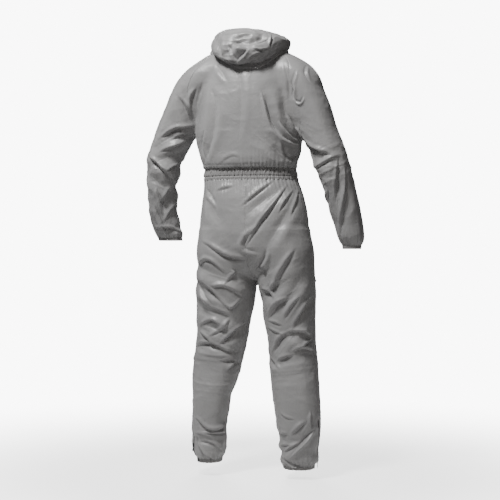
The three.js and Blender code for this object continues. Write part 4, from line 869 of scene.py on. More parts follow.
# Fields of wrinkles: middle, reach, slant in the x-z plane in degrees, spacing, depth
wrinkleFields = [
    ((-315, -60, -395), 95, -28, 34, 5.0),
    ((-318, 0, -545), 95, 62, 30, 4.0),
    ((292, -50, -390), 95, 24, 36, 4.5),
    ((330, 10, -560), 100, -78, 32, 4.0),
    ((-220, -40, -290), 80, 22, 32, 4.0),
    ((205, -40, -310), 80, -25, 32, 4.0),
    ((150, -100, -330), 90, -40, 32, 4.0),
    ((-130, -100, -330), 70, 60, 40, 2.5),
    ((25, -100, -770), 110, 30, 42, 3.0),
    ((-110, -80, -830), 110, -14, 40, 4.0),
    ((140, -80, -830), 110, 32, 42, 4.0),
    ((-110, -70, -960), 110, -20, 40, 4.0),
    ((140, -70, -950), 110, 50, 42, 4.0),
    ((-120, -70, -1090), 100, -6, 34, 5.0),
    ((150, -70, -1090), 100, 8, 34, 5.0),
    ((-140, -60, -1240), 100, 30, 44, 3.0),
    ((180, -60, -1240), 100, -30, 44, 3.0),
    ((-145, -30, -1370), 80, -8, 28, 5.0),
    ((180, -30, -1380), 80, 12, 28, 5.0),
    ((-110, 70, -1080), 110, 4, 36, 5.0),
    ((150, 70, -1080), 110, -4, 36, 5.0),
    ((-70, 80, -760), 120, -24, 44, 4.0),
    ((110, 80, -760), 120, 24, 44, 4.0),
    ((-120, 90, -250), 110, 60, 46, 3.0),
    ((120, 90, -250), 110, -60, 46, 3.0),
    ((-300, 70, -430), 90, 12, 34, 4.5),
    ((300, 70, -430), 90, -12, 34, 4.5),
]
wrinkleLook = {"field": 0.85, "soft": 1.5, "fine": 0.5}


def wrinkles(p):
    height = np.zeros(len(p))
    for seed, (middle, reach, slant, spacing, depth) in enumerate(wrinkleFields):
        off = p - np.array(middle, float)
        mask = np.exp(-(off * off).sum(1) / reach ** 2)
        near = np.flatnonzero(mask > 0.01)
        if not len(near):
            continue
        a = math.radians(slant)
        along = np.array([math.cos(a), 0.3, math.sin(a)])
        across = np.array([-math.sin(a), 0, math.cos(a)])
        deep = np.array([0.0, 1, 0])
        o = off[near]
        q = np.stack([o @ along / (spacing * 4.6), o @ across / spacing, o @ deep / (spacing * 2)], 1)
        bend = latticeNoise(q * 0.7 + 3.1, 90 + seed) - 0.5
        q[:, 1] += bend * 0.9
        a1 = 1 - np.abs(2 * latticeNoise(q, 11 + seed) - 1)
        a2 = 1 - np.abs(2 * latticeNoise(q * 2.1 + 7.7, 51 + seed) - 1)
        height[near] += wrinkleLook["field"] * depth * mask[near] * (a1 ** 1.9 + 0.45 * a2 ** 1.9 - 0.6)
    rough = latticeNoise(p / 48.0, 5) - 0.5
    soft = 1 - np.abs(2 * latticeNoise(p / np.array([60.0, 60, 44]) + 0.4 * rough[:, None], 6) - 1)
    fine = 1 - np.abs(2 * latticeNoise(p / 21.0 + 0.5 * rough[:, None], 7) - 1)
    return height + wrinkleLook["soft"] * (soft - 0.5) + wrinkleLook["fine"] * (fine - 0.5)


# Gathers run out from each elastic: tube, height of its edge, way they run, how many, how deep, how far, seed
gatherFields = [
    ("trunk", "bodiceHem", 1, 62, 2.6, 34, 1),
    ("trunk", "waistbandHem", -1, 66, 2.2, 42, 2),
    ("armLeft", "leftCuff", 1, 19, 2.6, 26, 3),
    ("armRight", "rightCuff", 1, 19, 2.6, 26, 4),
    ("legLeft", "leftHem", 1, 25, 2.4, 30, 5),
    ("legRight", "rightHem", 1, 25, 2.4, 30, 6),
]


def turnRound(tube, p):
    s = sectionAt(tube, p[..., 2])
    return np.arctan2(p[..., 1] - (s[..., 2] + s[..., 3]) / 2, p[..., 0] - (s[..., 0] + s[..., 1]) / 2)


def unevenWave(turn, count, seed):
    drift = sum(math.sin(seed * 7.1 + k) * np.sin(k * turn + seed * k * 1.7) for k in (1, 2, 3, 5, 8))
    return np.cos(count * turn + 1.3 * drift) + 0.5 * np.cos(round(count * 0.62) * turn + 2.1 * drift + seed)


def gathered(p):
    height = np.zeros(len(p))
    x = p[:, 0]
    onLimb = {"armLeft": x < -200, "armRight": x > 240, "legLeft": x < 0, "legRight": x > 0}
    for name, edge, way, count, depth, far, seed in gatherFields:
        away = (p[:, 2] - sizes[edge]) * way
        on = (away > -1) & (away < far * 4)
        if name in onLimb:
            on &= onLimb[name]
        near = np.flatnonzero(on)
        if not len(near):
            continue
        turn = turnRound(tubes[name], p[near])
        lengths = far * (0.75 + 0.45 * np.sin(5 * turn + seed) * np.sin(11 * turn + 2 * seed))
        fade = np.exp(-np.maximum(away[near], 0) / np.maximum(lengths, 8))
        height[near] += depth * fade * unevenWave(turn, count, seed) * 0.62
    return height


# The cloth keeps its plain form where the zip sliders sit, and nearly so close to a zip
plainPlaces = [((-4, 95, -85), 30), ((-186, -66, -1385), 26), ((242, -15, -1412), 26)]
zipCalm = 0.92
zipLines = [
    ([(-4, 90, -95), (-3, 105, -250), (-2, 92, -407), (0, 96, -520), (4, 92, -600)], 15),
    ([(-200, -48, -1240), (-190, -72, -1330), (-174, -62, -1418)], 13),
    ([(233, -38, -1262), (238, -26, -1330), (244, -14, -1435)], 13),
]


# All that stands out from the plain form, or sinks into it
def relief(p, n):
    shape = p.shape
    p, n = p.reshape(-1, 3), n.reshape(-1, 3)
    extra = reliefOf(finerLines, p, n, True) + wrinkles(p) + gathered(p)
    for middle, reach in plainPlaces:
        off = p - np.array(middle, float)
        extra *= 1 - np.exp(-(((off * off).sum(1) / reach ** 2) ** 2))
    for stops, reach in zipLines:
        far = np.full(len(p), np.inf)
        for a, b in zip(np.array(stops[:-1], float), np.array(stops[1:], float)):
            t = np.clip((p - a) @ (b - a) / ((b - a) @ (b - a)), 0, 1)
            far = np.minimum(far, lengthOf((p - a - t[:, None] * (b - a)) * np.array([1, 0.4, 1])))
        extra *= 1 - zipCalm * np.exp(-((far / reach) ** 2))
    return (reliefOf(foldLines, p, n) + extra).reshape(shape[:-1])


neckCentre = np.array([0.0, -15, 0])


# Making meshes
def makeMesh(name, verts, faces, material, uv=None):
    mesh = bpy.data.meshes.new(name)
    mesh.from_pydata((verts / 1000).tolist(), [], faces.tolist())
    mesh.polygons.foreach_set("use_smooth", np.ones(len(mesh.polygons), bool))
    if uv is not None:
        layer = mesh.uv_layers.new(name="cut")
        corner = np.empty(len(mesh.loops), int)
        mesh.loops.foreach_get("vertex_index", corner)
        layer.data.foreach_set("uv", uv[corner].ravel())
    mesh.materials.append(material)
    obj = bpy.data.objects.new(name, mesh)
    bpy.context.scene.collection.objects.link(obj)
    return obj


def gridFaces(rows, columns, ring=False):
    i, j = np.meshgrid(np.arange(rows - 1), np.arange(columns if ring else columns - 1), indexing="ij")
    k = (j + 1) % columns
    low, high = i * columns, (i + 1) * columns
    return np.stack([low + j, low + k, high + k, high + j], -1).reshape(-1, 4)


# Places in the cloth's own cut, in metres, for its weave
def threadPlaces(grid):
    across, along = runLengths(grid, 1), runLengths(grid, 0)
    across -= across[:, -1:] / 2
    return np.stack([across, along], -1).reshape(-1, 2) / 1000


def makeGrid(name, grid, material, ring=False, flipped=False):
    faces = gridFaces(grid.shape[0], grid.shape[1], ring)
    if flipped:
        faces = faces[:, ::-1]
    return makeMesh(name, grid.reshape(-1, 3), faces, material, threadPlaces(grid))


# Finishes
weaveLook = {"depth": 0.5}


def newGroup(name, inputs, outputs):
    group = bpy.data.node_groups.new(name, "ShaderNodeTree")
    for label, kind, value in inputs:
        socket = group.interface.new_socket(name=label, in_out="INPUT", socket_type=kind)
        if value is not None:
            socket.default_value = value
    for label, kind in outputs:
        group.interface.new_socket(name=label, in_out="OUTPUT", socket_type=kind)
    return group, group.nodes.new("NodeGroupInput"), group.nodes.new("NodeGroupOutput")


def addNode(tree, kind, **settings):
    node = tree.nodes.new(kind)
    for key, value in settings.items():
        if key.startswith("in_"):
            node.inputs[key[3:].replace("_", " ")].default_value = value
        else:
            setattr(node, key, value)
    return node


def wire(tree, source, target):
    tree.links.new(source, target)


def mathNode(tree, operation, first, second=None, clamp=False):
    node = tree.nodes.new("ShaderNodeMath")
    node.operation = operation
    node.use_clamp = clamp
    for socket, value in zip(node.inputs, (first, second)):
        if isinstance(value, (int, float)):
            socket.default_value = value
        elif value is not None:
            tree.links.new(value, socket)
    return node.outputs[0]


# Plain weave: warp and weft yarns that pass over and under each other
def weaveGroup():
    group, take, give = newGroup(
        "plainWeave",
        [("Place", "NodeSocketVector", None), ("Yarns", "NodeSocketFloat", 370.0)],
        [("Height", "NodeSocketFloat"), ("Yarn", "NodeSocketFloat")],
    )
    waves = []
    for way in ("X", "Y"):
        wave = addNode(group, "ShaderNodeTexWave", wave_type="BANDS", bands_direction=way, wave_profile="SIN")
        wave.inputs["Distortion"].default_value = 0.6
        wave.inputs["Detail"].default_value = 1.0
        wire(group, take.outputs["Place"], wave.inputs["Vector"])
        wire(group, take.outputs["Yarns"], wave.inputs["Scale"])
        waves.append(wave.outputs["Fac"])
    both = mathNode(group, "MULTIPLY", waves[0], waves[1])
    low = [mathNode(group, "SUBTRACT", 1.0, wave) for wave in waves]
    swap = mathNode(group, "MULTIPLY", *low)
    wire(group, mathNode(group, "ADD", both, swap), give.inputs["Height"])
    wire(group, waves[0], give.inputs["Yarn"])
    return group


# Small creases that stay pressed into a thin coated cloth
def crinkleGroup():
    group, take, give = newGroup(
        "pressedCrinkle",
        [("Place", "NodeSocketVector", None), ("Spacing", "NodeSocketFloat", 40.0)],
        [("Height", "NodeSocketFloat"), ("Patch", "NodeSocketFloat")],
    )
    patch = addNode(group, "ShaderNodeTexNoise", in_Scale=9.0, in_Detail=2.0)
    wire(group, take.outputs["Place"], patch.inputs["Vector"])
    heights = []
    for times, share in ((1.0, 1.0), (2.6, 0.4)):
        noise = addNode(group, "ShaderNodeTexNoise", in_Detail=1.0, in_Distortion=0.5)
        wire(group, take.outputs["Place"], noise.inputs["Vector"])
        wire(group, mathNode(group, "MULTIPLY", take.outputs["Spacing"], times), noise.inputs["Scale"])
        away = mathNode(group, "ABSOLUTE", mathNode(group, "SUBTRACT", noise.outputs["Fac"], 0.5))
        ridge = mathNode(group, "SUBTRACT", 1.0, mathNode(group, "MULTIPLY", away, 4.0), clamp=True)
        heights.append(mathNode(group, "MULTIPLY", ridge, share))
    total = mathNode(group, "ADD", heights[0], heights[1])
    soft = mathNode(group, "MULTIPLY", total, patch.outputs["Fac"])
    wire(group, soft, give.inputs["Height"])
    wire(group, patch.outputs["Fac"], give.inputs["Patch"])
    return group


# Lighter, polished metal or paler cloth where edges and high places rub
def rubbedGroup():
    group, take, give = newGroup(
        "rubbedEdge",
        [("Place", "NodeSocketVector", None), ("Grain", "NodeSocketFloat", 400.0), ("Reach", "NodeSocketFloat", 0.5)],
        [("Mask", "NodeSocketFloat"), ("Grain", "NodeSocketFloat")],
    )
    shape = addNode(group, "ShaderNodeNewGeometry")
    edge = addNode(group, "ShaderNodeMapRange")
    edge.inputs["From Min"].default_value = 0.5
    edge.inputs["From Max"].default_value = 0.62
    wire(group, shape.outputs["Pointiness"], edge.inputs["Value"])
    noise = addNode(group, "ShaderNodeTexNoise", in_Detail=4.0)
    wire(group, take.outputs["Place"], noise.inputs["Vector"])
    wire(group, take.outputs["Grain"], noise.inputs["Scale"])
    worn = mathNode(group, "MULTIPLY", edge.outputs["Result"], noise.outputs["Fac"])
    spot = mathNode(group, "MULTIPLY", mathNode(group, "GREATER_THAN", noise.outputs["Fac"], 0.66), 0.25)
    mask = mathNode(group, "MULTIPLY", mathNode(group, "ADD", worn, spot), take.outputs["Reach"], clamp=True)
    wire(group, mask, give.inputs["Mask"])
    wire(group, noise.outputs["Fac"], give.inputs["Grain"])
    return group


groups = {"weave": weaveGroup(), "crinkle": crinkleGroup(), "rubbed": rubbedGroup()}


def useGroup(tree, key, place, **values):
    node = tree.nodes.new("ShaderNodeGroup")
    node.node_tree = groups[key]
    wire(tree, place, node.inputs["Place"])
    for label, value in values.items():
        node.inputs[label].default_value = value
    return node


def mixColours(tree, share, first, second):
    node = tree.nodes.new("ShaderNodeMix")
    node.data_type = "RGBA"
    wire(tree, share, node.inputs[0])
    node.inputs[6].default_value = (*first, 1)
    node.inputs[7].default_value = (*second, 1)
    return node.outputs[2]


def valueRange(tree, source, low, high):
    node = tree.nodes.new("ShaderNodeMapRange")
    wire(tree, source, node.inputs["Value"])
    node.inputs["From Min"].default_value = 0.25
    node.inputs["From Max"].default_value = 0.75
    node.inputs["To Min"].default_value = low
    node.inputs["To Max"].default_value = high
    return node.outputs["Result"]


# Cloth finishes: two tones, roughness from and to, sheen, crinkle spacing and depth in metres
clothLooks = {
    "suitCloth": {
        "light": (0.295, 0.292, 0.292), "dark": (0.245, 0.243, 0.245), "smooth": 0.36, "rough": 0.46,
        "sheen": 0.18, "crinkle": 38.0, "crinkleDepth": 0.0007, "weaveDepth": 0.00005, "yarns": 370.0,
    },
    "suitElastic": {
        "light": (0.235, 0.230, 0.229), "dark": (0.180, 0.176, 0.176), "smooth": 0.50, "rough": 0.62,
        "sheen": 0.25, "crinkle": 60.0, "crinkleDepth": 0.0005, "weaveDepth": 0.00007, "yarns": 330.0,
    },
    "zipTape": {
        "light": (0.120, 0.119, 0.120), "dark": (0.085, 0.084, 0.085), "smooth": 0.74, "rough": 0.86,
        "sheen": 0.3, "crinkle": 90.0, "crinkleDepth": 0.0002, "weaveDepth": 0.00012, "yarns": 260.0,
    },
    "sewingThread": {
        "light": (0.300, 0.298, 0.300), "dark": (0.205, 0.203, 0.205), "smooth": 0.52, "rough": 0.68,
        "sheen": 0.3, "crinkle": 400.0, "crinkleDepth": 0.00005, "weaveDepth": 0.00004, "yarns": 900.0,
    },
    "zipCoil": {
        "light": (0.095, 0.094, 0.096), "dark": (0.060, 0.060, 0.062), "smooth": 0.30, "rough": 0.45,
        "sheen": 0.0, "crinkle": 300.0, "crinkleDepth": 0.00004, "weaveDepth": 0.00002, "yarns": 900.0,
    },
}


def clothMaterial(name):
    look = clothLooks[name]
    material = bpy.data.materials.new(name)
    material.use_nodes = True
    tree = material.node_tree
    shader = tree.nodes["Principled BSDF"]
    where = addNode(tree, "ShaderNodeTexCoord")
    weave = useGroup(tree, "weave", where.outputs["UV"], Yarns=look["yarns"])
    crinkle = useGroup(tree, "crinkle", where.outputs["Object"], Spacing=look["crinkle"])
    rubbed = useGroup(tree, "rubbed", where.outputs["Object"], Grain=24.0, Reach=0.35)
    tone = mathNode(tree, "ADD", valueRange(tree, crinkle.outputs["Patch"], 0.1, 0.8), rubbed.outputs["Mask"])
    yarn = mathNode(tree, "MULTIPLY", mathNode(tree, "SUBTRACT", weave.outputs["Yarn"], 0.5), 0.16)
    share = mathNode(tree, "ADD", tone, yarn, clamp=True)
    wire(tree, mixColours(tree, share, look["dark"], look["light"]), shader.inputs["Base Color"])
    wire(tree, valueRange(tree, rubbed.outputs["Grain"], look["rough"], look["smooth"]), shader.inputs["Roughness"])
    shader.inputs["Sheen Weight"].default_value = look["sheen"]
    shader.inputs["Sheen Roughness"].default_value = 0.45
    shader.inputs["Specular IOR Level"].default_value = 0.5
    fine = addNode(tree, "ShaderNodeBump", in_Strength=weaveLook["depth"], in_Distance=look["weaveDepth"])
    wire(tree, weave.outputs["Height"], fine.inputs["Height"])
    broad = addNode(tree, "ShaderNodeBump", in_Strength=1.0, in_Distance=look["crinkleDepth"])
    wire(tree, crinkle.outputs["Height"], broad.inputs["Height"])
    wire(tree, fine.outputs["Normal"], broad.inputs["Normal"])
    wire(tree, broad.outputs["Normal"], shader.inputs["Normal"])
    return material


# Painted metal of the sliders and pulls, bare where it rubs
metalLook = {"paint": (0.050, 0.051, 0.055), "bare": (0.12, 0.12, 0.125), "smooth": 0.50, "rough": 0.66}


def metalMaterial():
    material = bpy.data.materials.new("zipMetal")
    material.use_nodes = True
    tree = material.node_tree
    shader = tree.nodes["Principled BSDF"]
    where = addNode(tree, "ShaderNodeTexCoord")
    rubbed = useGroup(tree, "rubbed", where.outputs["Object"], Grain=900.0, Reach=0.9)
    colour = mixColours(tree, rubbed.outputs["Mask"], metalLook["paint"], metalLook["bare"])
    wire(tree, colour, shader.inputs["Base Color"])
    roughness = valueRange(tree, rubbed.outputs["Grain"], metalLook["rough"], metalLook["smooth"])
    wire(tree, roughness, shader.inputs["Roughness"])
    shader.inputs["Metallic"].default_value = 0.8
    bump = addNode(tree, "ShaderNodeBump", in_Strength=0.35, in_Distance=0.00005)
    wire(tree, rubbed.outputs["Grain"], bump.inputs["Height"])
    wire(tree, bump.outputs["Normal"], shader.inputs["Normal"])
    return material


finishes = {name: clothMaterial(name) for name in clothLooks}
finishes["zipMetal"] = metalMaterial()
print("finishes made")

# The panels dressed
neckLine = neckRound["p"]


def nearNeck(p):
    flat = p.reshape(-1, 3)
    share = np.zeros(len(flat))
    near = np.flatnonzero(flat[:, 2] > -130)
    for part in np.array_split(near, max(len(near) // 4000, 1)):
        if len(part):
            gap = flat[part][:, None] - neckLine[None, ::3]
            share[part] = np.clip(1 - np.sqrt((gap * gap).sum(-1).min(1)) / 26, 0, 1)
    return share.reshape(p.shape[:-1])


def outward(p):
    n = unit(steepest(p))
    away = p - neckCentre
    away[..., 2] = 0
    return unit(n + unit(away) * nearNeck(p)[..., None])


# Each sewn edge sinks a little; the cloth beside it puckers
seamLook = {
    "sink": 1.1, "half": 2.2, "pucker": 0.5, "every": 9.0, "drift": 23.0, "swell": 31.0, "least": 0.6,
    "puckerAt": 6, "puckerWide": 4,
}


def seamSink(grid, edges):
    sink = np.zeros(grid.shape[:2])
    for edge in edges:
        axis = 0 if edge in ("bottom", "top") else 1
        fromEnd = edge in ("top", "right")
        rows = np.flip(grid, axis) if fromEnd else grid
        far = runLengths(rows, axis)
        far = np.flip(far, axis) if fromEnd else far
        along = np.expand_dims(runLengths(np.take(rows, 0, axis)), axis)
        groove = seamLook["sink"] * np.exp(-((far / seamLook["half"]) ** 2))
        ripple = np.sin(2 * np.pi * along / seamLook["every"] + 2 * np.sin(along / seamLook["drift"]))
        beside = np.exp(-((far - seamLook["puckerAt"]) / seamLook["puckerWide"]) ** 2)
        pucker = seamLook["pucker"] * ripple * beside
        sink = np.maximum(sink, groove)
        sink = sink - pucker * (seamLook["least"] + (1 - seamLook["least"]) * np.sin(along / seamLook["swell"]))
    return sink


# The back of the bodice hangs over the waistband in a soft roll
blouseLook = {"roll": 15.0, "out": 3.4, "drop": 3.0, "sides": 0.5}


def blouse(grid, n, outer):
    turn = turnRound(tubes["trunk"], grid[0])
    uneven = 0.85 + 0.3 * np.sin(3 * turn + 1) * np.sin(5 * turn) + 0.06 * np.sin(17 * turn + 2)
    uneven *= blouseLook["sides"] + (1 - blouseLook["sides"]) * np.sin(turn) ** 2
    t = np.clip(1 - runLengths(grid) / blouseLook["roll"], 0, 1)
    lift = np.sin(np.pi * t ** 0.9)
    outer = outer + n * (blouseLook["out"] * uneven * lift)[..., None]
    outer[..., 2] -= blouseLook["drop"] * uneven * np.sin(np.pi * t ** 1.3)
    return outer


# The cloth's edge turned under by some rows, with a gap between the layers
def turnedUnder(outer, n, edge, rows, gap):
    axis = 0 if edge in ("bottom", "top") else 1
    atStart = edge in ("bottom", "left")
    take = np.arange(rows + 1) if atStart else -1 - np.arange(rows + 1)
    ways = np.take(n, take, axis)
    under = np.take(outer, take, axis) - ways * gap
    if atStart:
        under, ways = np.flip(under, axis), np.flip(ways, axis)
        return np.concatenate([under, outer], axis), np.concatenate([ways, n], axis)
    return np.concatenate([outer, under], axis), np.concatenate([n, ways], axis)


# Panels: name, sewn edges, flat size and area of the cloth in metres
panelPlans = {
    "bodice_back": ("backPanel", ("top", "left", "right"), (0.46, 0.43), 0.168),
    "bodice_front_left": ("frontPanelLeft", ("top", "left"), (0.24, 0.42), 0.075),
    "bodice_front_right": ("frontPanelRight", ("top", "right"), (0.24, 0.42), 0.076),
    "sleeve_left_back": ("sleeveLeftBack", ("bottom", "left", "right"), (0.26, 0.70), 0.118),
    "sleeve_left_front": ("sleeveLeftFront", ("bottom", "left", "right"), (0.26, 0.70), 0.122),
    "sleeve_right_back": ("sleeveRightBack", ("bottom", "left", "right"), (0.26, 0.71), 0.119),
    "sleeve_right_front": ("sleeveRightFront", ("bottom", "left", "right"), (0.26, 0.71), 0.123),
    "trouser_back_left": ("trouserBackLeft", ("bottom", "left", "right"), (0.34, 1.02), 0.248),
    "trouser_back_right": ("trouserBackRight", ("bottom", "left", "right"), (0.34, 1.02), 0.243),
    "trouser_front_left": ("trouserFrontLeft", ("bottom", "left", "right"), (0.36, 1.02), 0.262),
    "trouser_front_right": ("trouserFrontRight", ("bottom", "left", "right"), (0.38, 1.02), 0.288),
}
clothed = {}
# Where cloth stops short for a zip: edge, the heights between which it does
zipGap = 4.2
outOfReach = 2000
ankleTops = {which: sizes[which + "Hem"] + sizes["ankleZipLength"] for which in ("left", "right")}
zipEdges = {
    "bodice_front_left": [("right", -outOfReach, outOfReach)],
    "bodice_front_right": [("left", -outOfReach, outOfReach)],
}
for which in ("left", "right"):
    zipEdges["trouser_front_" + which] = [
        ("right", sizes["frontZipEnd"], outOfReach), ("left", -outOfReach, ankleTops[which])
    ]
    zipEdges["trouser_back_" + which] = [("left", -outOfReach, ankleTops[which])]


# Draw the cloth in from one edge, between two heights, over a few columns
drawLook = {"over": 14, "ease": 12}


def drawnIn(outer, n, edge, low, high):
    moved = slice(drawLook["over"] + 1)
    outer, n = outer.copy(), n.copy()
    order = slice(None, None, -1) if edge == "right" else slice(None)
    for row, ways in zip(outer, n):
        line, way = row[order].copy(), ways[order].copy()
        share = np.clip(min(line[0, 2] - low, high - line[0, 2]) / drawLook["ease"], 0, 1)
        if share <= 0:
            continue
        far = runLengths(line[moved])
        at = zipGap * share + far * (far[-1] - zipGap * share) / far[-1]
        line[moved] = readAt(at, far, line[moved])
        row[order], ways[order] = line, unit(way)
    return outer, n


def facesInward(grid, ways):
    across, down = np.gradient(grid, axis=1), np.gradient(grid, axis=0)
    return (np.cross(across, down) * ways).sum() < 0


def areaOf(piece):
    return round(sum(face.area for face in piece.data.polygons), 4)


hemFold = {"rows": 2, "gap": 1.1}
for node, (name, edges, _, _) in panelPlans.items():
    grid = grids[node]
    n = outward(grid)
    outer = grid + n * (relief(grid, n) - seamSink(grid, edges))[..., None]
    if node.startswith("bodice"):
        outer = blouse(grid, n, outer)
    for edge, low, high in zipEdges.get(node, []):
        outer, n = drawnIn(outer, n, edge, low, high)
    clothed[node] = {"outer": outer, "n": n}
    shell, ways = outer, n
    for edge, low, high in zipEdges.get(node, []):
        shell, ways = turnedUnder(shell, ways, edge, hemFold["rows"], hemFold["gap"])
    panel = makeGrid(name, shell, finishes["suitCloth"], flipped=facesInward(shell, ways))
    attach(panel, "suit")
    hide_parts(node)
    print(name, outer.shape, "faces", len(panel.data.polygons), "area", areaOf(panel))
print("panels dressed")

# Elastic bands
# Down the outer face, round the edge and up inside: drop, stand-out
bandProfile = [
    (0.0, -1.6), (0.1, -1.1), (0.2, 0.3), (0.3, 1.0), (0.45, 1.3), (0.65, 1.25), (0.82, 0.9), (0.94, 0.2), (1.0, -0.6),
    (0.97, -1.4), (0.8, -1.9), (0.5, -2.0), (0.2, -2.0),
]


def alongLoop(loop, count, margin, closed):
    if closed:
        loop = np.vstack([loop, loop[:1]])
    line = spaced(loop, count, margin, margin)
    return line[:-1] if closed else line


def bandGrid(loop, top, drop, profile, lift):
    rows, ways = [], []
    for down, out in profile:
        q = loop.copy()
        q[:, 2] = top - down * drop
        q = lay(q, True, 5)
        g = steepest(q)
        g[:, 2] = 0
        n = unit(g)
        rows.append(q + n * (out + lift(q, down))[:, None])
        ways.append(n)
    return np.stack(rows), np.stack(ways)


def finishBand(name, node, grid, ways, ring):
    band = makeGrid(name, grid, finishes["suitElastic"], ring, facesInward(grid, ways))
    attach(band, "suit")
    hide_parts(node)
    print(name, grid.shape, "area", areaOf(band))


# Waistband: dense upright gathers, pinched by its rows of elastic
waistLook = {
    "columns": 1150, "rows": 26, "out": -0.4, "above": 1.5, "below": 1.0, "deep": 1.15, "fine": 0.55, "bulge": 3.2,
    "pinch": (0.72,), "pinchWide": 0.045, "pinchDeep": 2.6,
}
waistLoop = np.vstack([waistFrontLeft["p"][::-1], waistBack["p"][1:], waistFrontRight["p"][::-1][1:]])


def waistLift(q, down):
    turn = turnRound(tubes["trunk"], q)
    drift = 0.06 * math.sin(9 * down) * np.sin(23 * turn)
    broad = unevenWave(turn + drift * 0.3, 71, 7) * waistLook["deep"]
    thin = unevenWave(turn - drift * 0.2, 133, 8) * waistLook["fine"]
    puff = 1 - sum(math.exp(-(((down - at) / waistLook["pinchWide"]) ** 2)) for at in waistLook["pinch"])
    ends = math.sin(math.pi * min(max(down, 0.04), 0.97)) ** 0.35
    gathers = (broad + thin) * (0.45 + 0.55 * puff) * (0.5 + 0.5 * ends)
    return gathers + waistLook["bulge"] * ends - waistLook["pinchDeep"] * (1 - puff)


grid, ways = bandGrid(
    alongLoop(waistLoop, waistLook["columns"], sizes["bandEnd"], False),
    sizes["bodiceHem"] + waistLook["above"],
    sizes["bodiceHem"] - sizes["waistbandHem"] + waistLook["above"] + waistLook["below"],
    [(down, waistLook["out"]) for down in np.linspace(0, 1, waistLook["rows"])], waistLift,
)
finishBand("waistBand", "waistband", grid, ways, False)

# Cuffs run all round; hems end at the ankle zips
edgeLook = {"fine": 0.35, "behind": 2.6, "hidden": 0.25, "flatter": 0.45}
edgePlans = {
    "cuff": {"columns": 300, "closed": True, "margin": 0, "gathers": 19, "deep": 2.2},
    "hem": {"columns": 340, "closed": False, "margin": sizes["bandEnd"], "gathers": 25, "deep": 2.0},
}


def edgeBand(kind, which, tube, back, front, seed):
    plan = edgePlans[kind]

    def lift(q, down):
        turn = turnRound(tubes[tube], q)
        narrow = unevenWave(turn, plan["gathers"] * 3, seed + 4) * edgeLook["fine"]
        hidden = min(1, (down / edgeLook["hidden"]) ** 2)
        broad = plan["deep"] * 0.5 * unevenWave(turn, plan["gathers"], seed)
        return (broad * (1 - edgeLook["flatter"] * down) + narrow) * hidden

    loop = np.vstack([back[-1], front[-1][::-1][1:-1 if plan["closed"] else None]])
    top, drop = sizes[which + kind.title()] + edgeLook["behind"], sizes[kind + "Band"] + edgeLook["behind"]
    loop = alongLoop(loop, plan["columns"], plan["margin"], plan["closed"])
    grid, ways = bandGrid(loop, top, drop, bandProfile, lift)
    finishBand(kind + which.title(), f"{kind}_{which}", grid, ways, plan["closed"])


for which, seed in (("left", 3), ("right", 4)):
    back, front = grids[f"sleeve_{which}_back"], grids[f"sleeve_{which}_front"]
    edgeBand("cuff", which, "arm" + which.title(), back, front, seed)
for which, seed in (("left", 5), ("right", 6)):
    back, front = grids[f"trouser_back_{which}"], grids[f"trouser_front_{which}"]
    edgeBand("hem", which, "leg" + which.title(), back, front, seed)
print("bands made")

# Collar and hood
# Rings of the hood over the collar stand, from its foot over the crest to the edge inside:
# where each passes left, right, front and back, and its heights there
hoodRings = [
    (-128, 142, 90, -138, 16, 19, -64, -58),
    (-127, 145, 96, -158, 26, 28, -48, -40),
    (-123, 144, 97, -163, 39, 36, -26, -8),
    (-116, 137, 90, -152, 53, 43, -8, 26),
    (-106, 121, 80, -128, 63, 50, 3, 56),
    (-93, 100, 68, -98, 66, 53, 6, 71),
    (-82, 86, 58, -78, 54, 44, 0, 63),
    (-77, 80, 54, -69, 28, 22, -18, 36),
    (-79, 82, 55, -69, 0, -4, -38, 6),
]
# The hood's largest folds, in the x-z plane: from, by way of, to, width, depth
hoodFolds = [
    ((-66, 50), (-20, 56), (50, 60), 9, 8),
    ((-50, -42), (-20, 0), (25, 28), 13, 9),
    ((-14, 22), (25, 6), (66, 20), 12, 12),
    ((-95, 45), (-80, 10), (-62, -30), 14, 6),
    ((70, 48), (78, 30), (60, 14), 12, 9),
    ((0, -42), (25, -20), (45, -4), 11, 6),
]
# Its finer creases by their place in the back view, as above
hoodCreases = [
    ([(216, 57), (225, 61), (234, 62), (244, 71)], 4, 4.5, "up"),
    ([(287, 50), (277, 57), (267, 62), (264, 67), (257, 71)], 3.5, 4.5, "up"),
    ([(236, 38), (243, 36.5), (252, 36)], 3, 3.5, "up"),
    ([(230, 42), (240, 40.5), (252, 39.5)], 2.5, 3, "up"),
    ([(249, 47), (243, 54), (237, 61)], 4, 4, "right"),
    ([(253, 49), (260, 50.5), (269, 48.5)], 3, 4, "up"),
    ([(272, 35), (272, 40), (270, 46)], 3.5, 4.5, "left"),
    ([(228, 45), (232, 53), (236, 60)], 4, 3.5, "left"),
    ([(222, 40), (219, 48), (221, 56)], 5, 3, "right"),
    ([(248, 60), (256, 55), (264, 54)], 3.5, 3, "up"),
    ([(252, 66), (258, 61), (262, 57)], 3, 3, "left"),
    ([(277, 44), (271, 53), (264, 60)], 4, 3.5, "right"),
    ([(255, 44), (262, 42), (268, 40)], 2.5, 2.5, "up"),
    ([(239, 68), (246, 66), (252, 70)], 3, 2.5, "up"),
]
hoodLook = {
    "roundness": 2.2, "lean": 0.25, "rows": 104, "standRows": 9, "crumple": 3.6, "crumpleSize": 19.0,
    "easeFoot": 9, "easeEdge": 6, "leastEdge": 0.25, "underRows": 5, "underGap": 1.2,
}

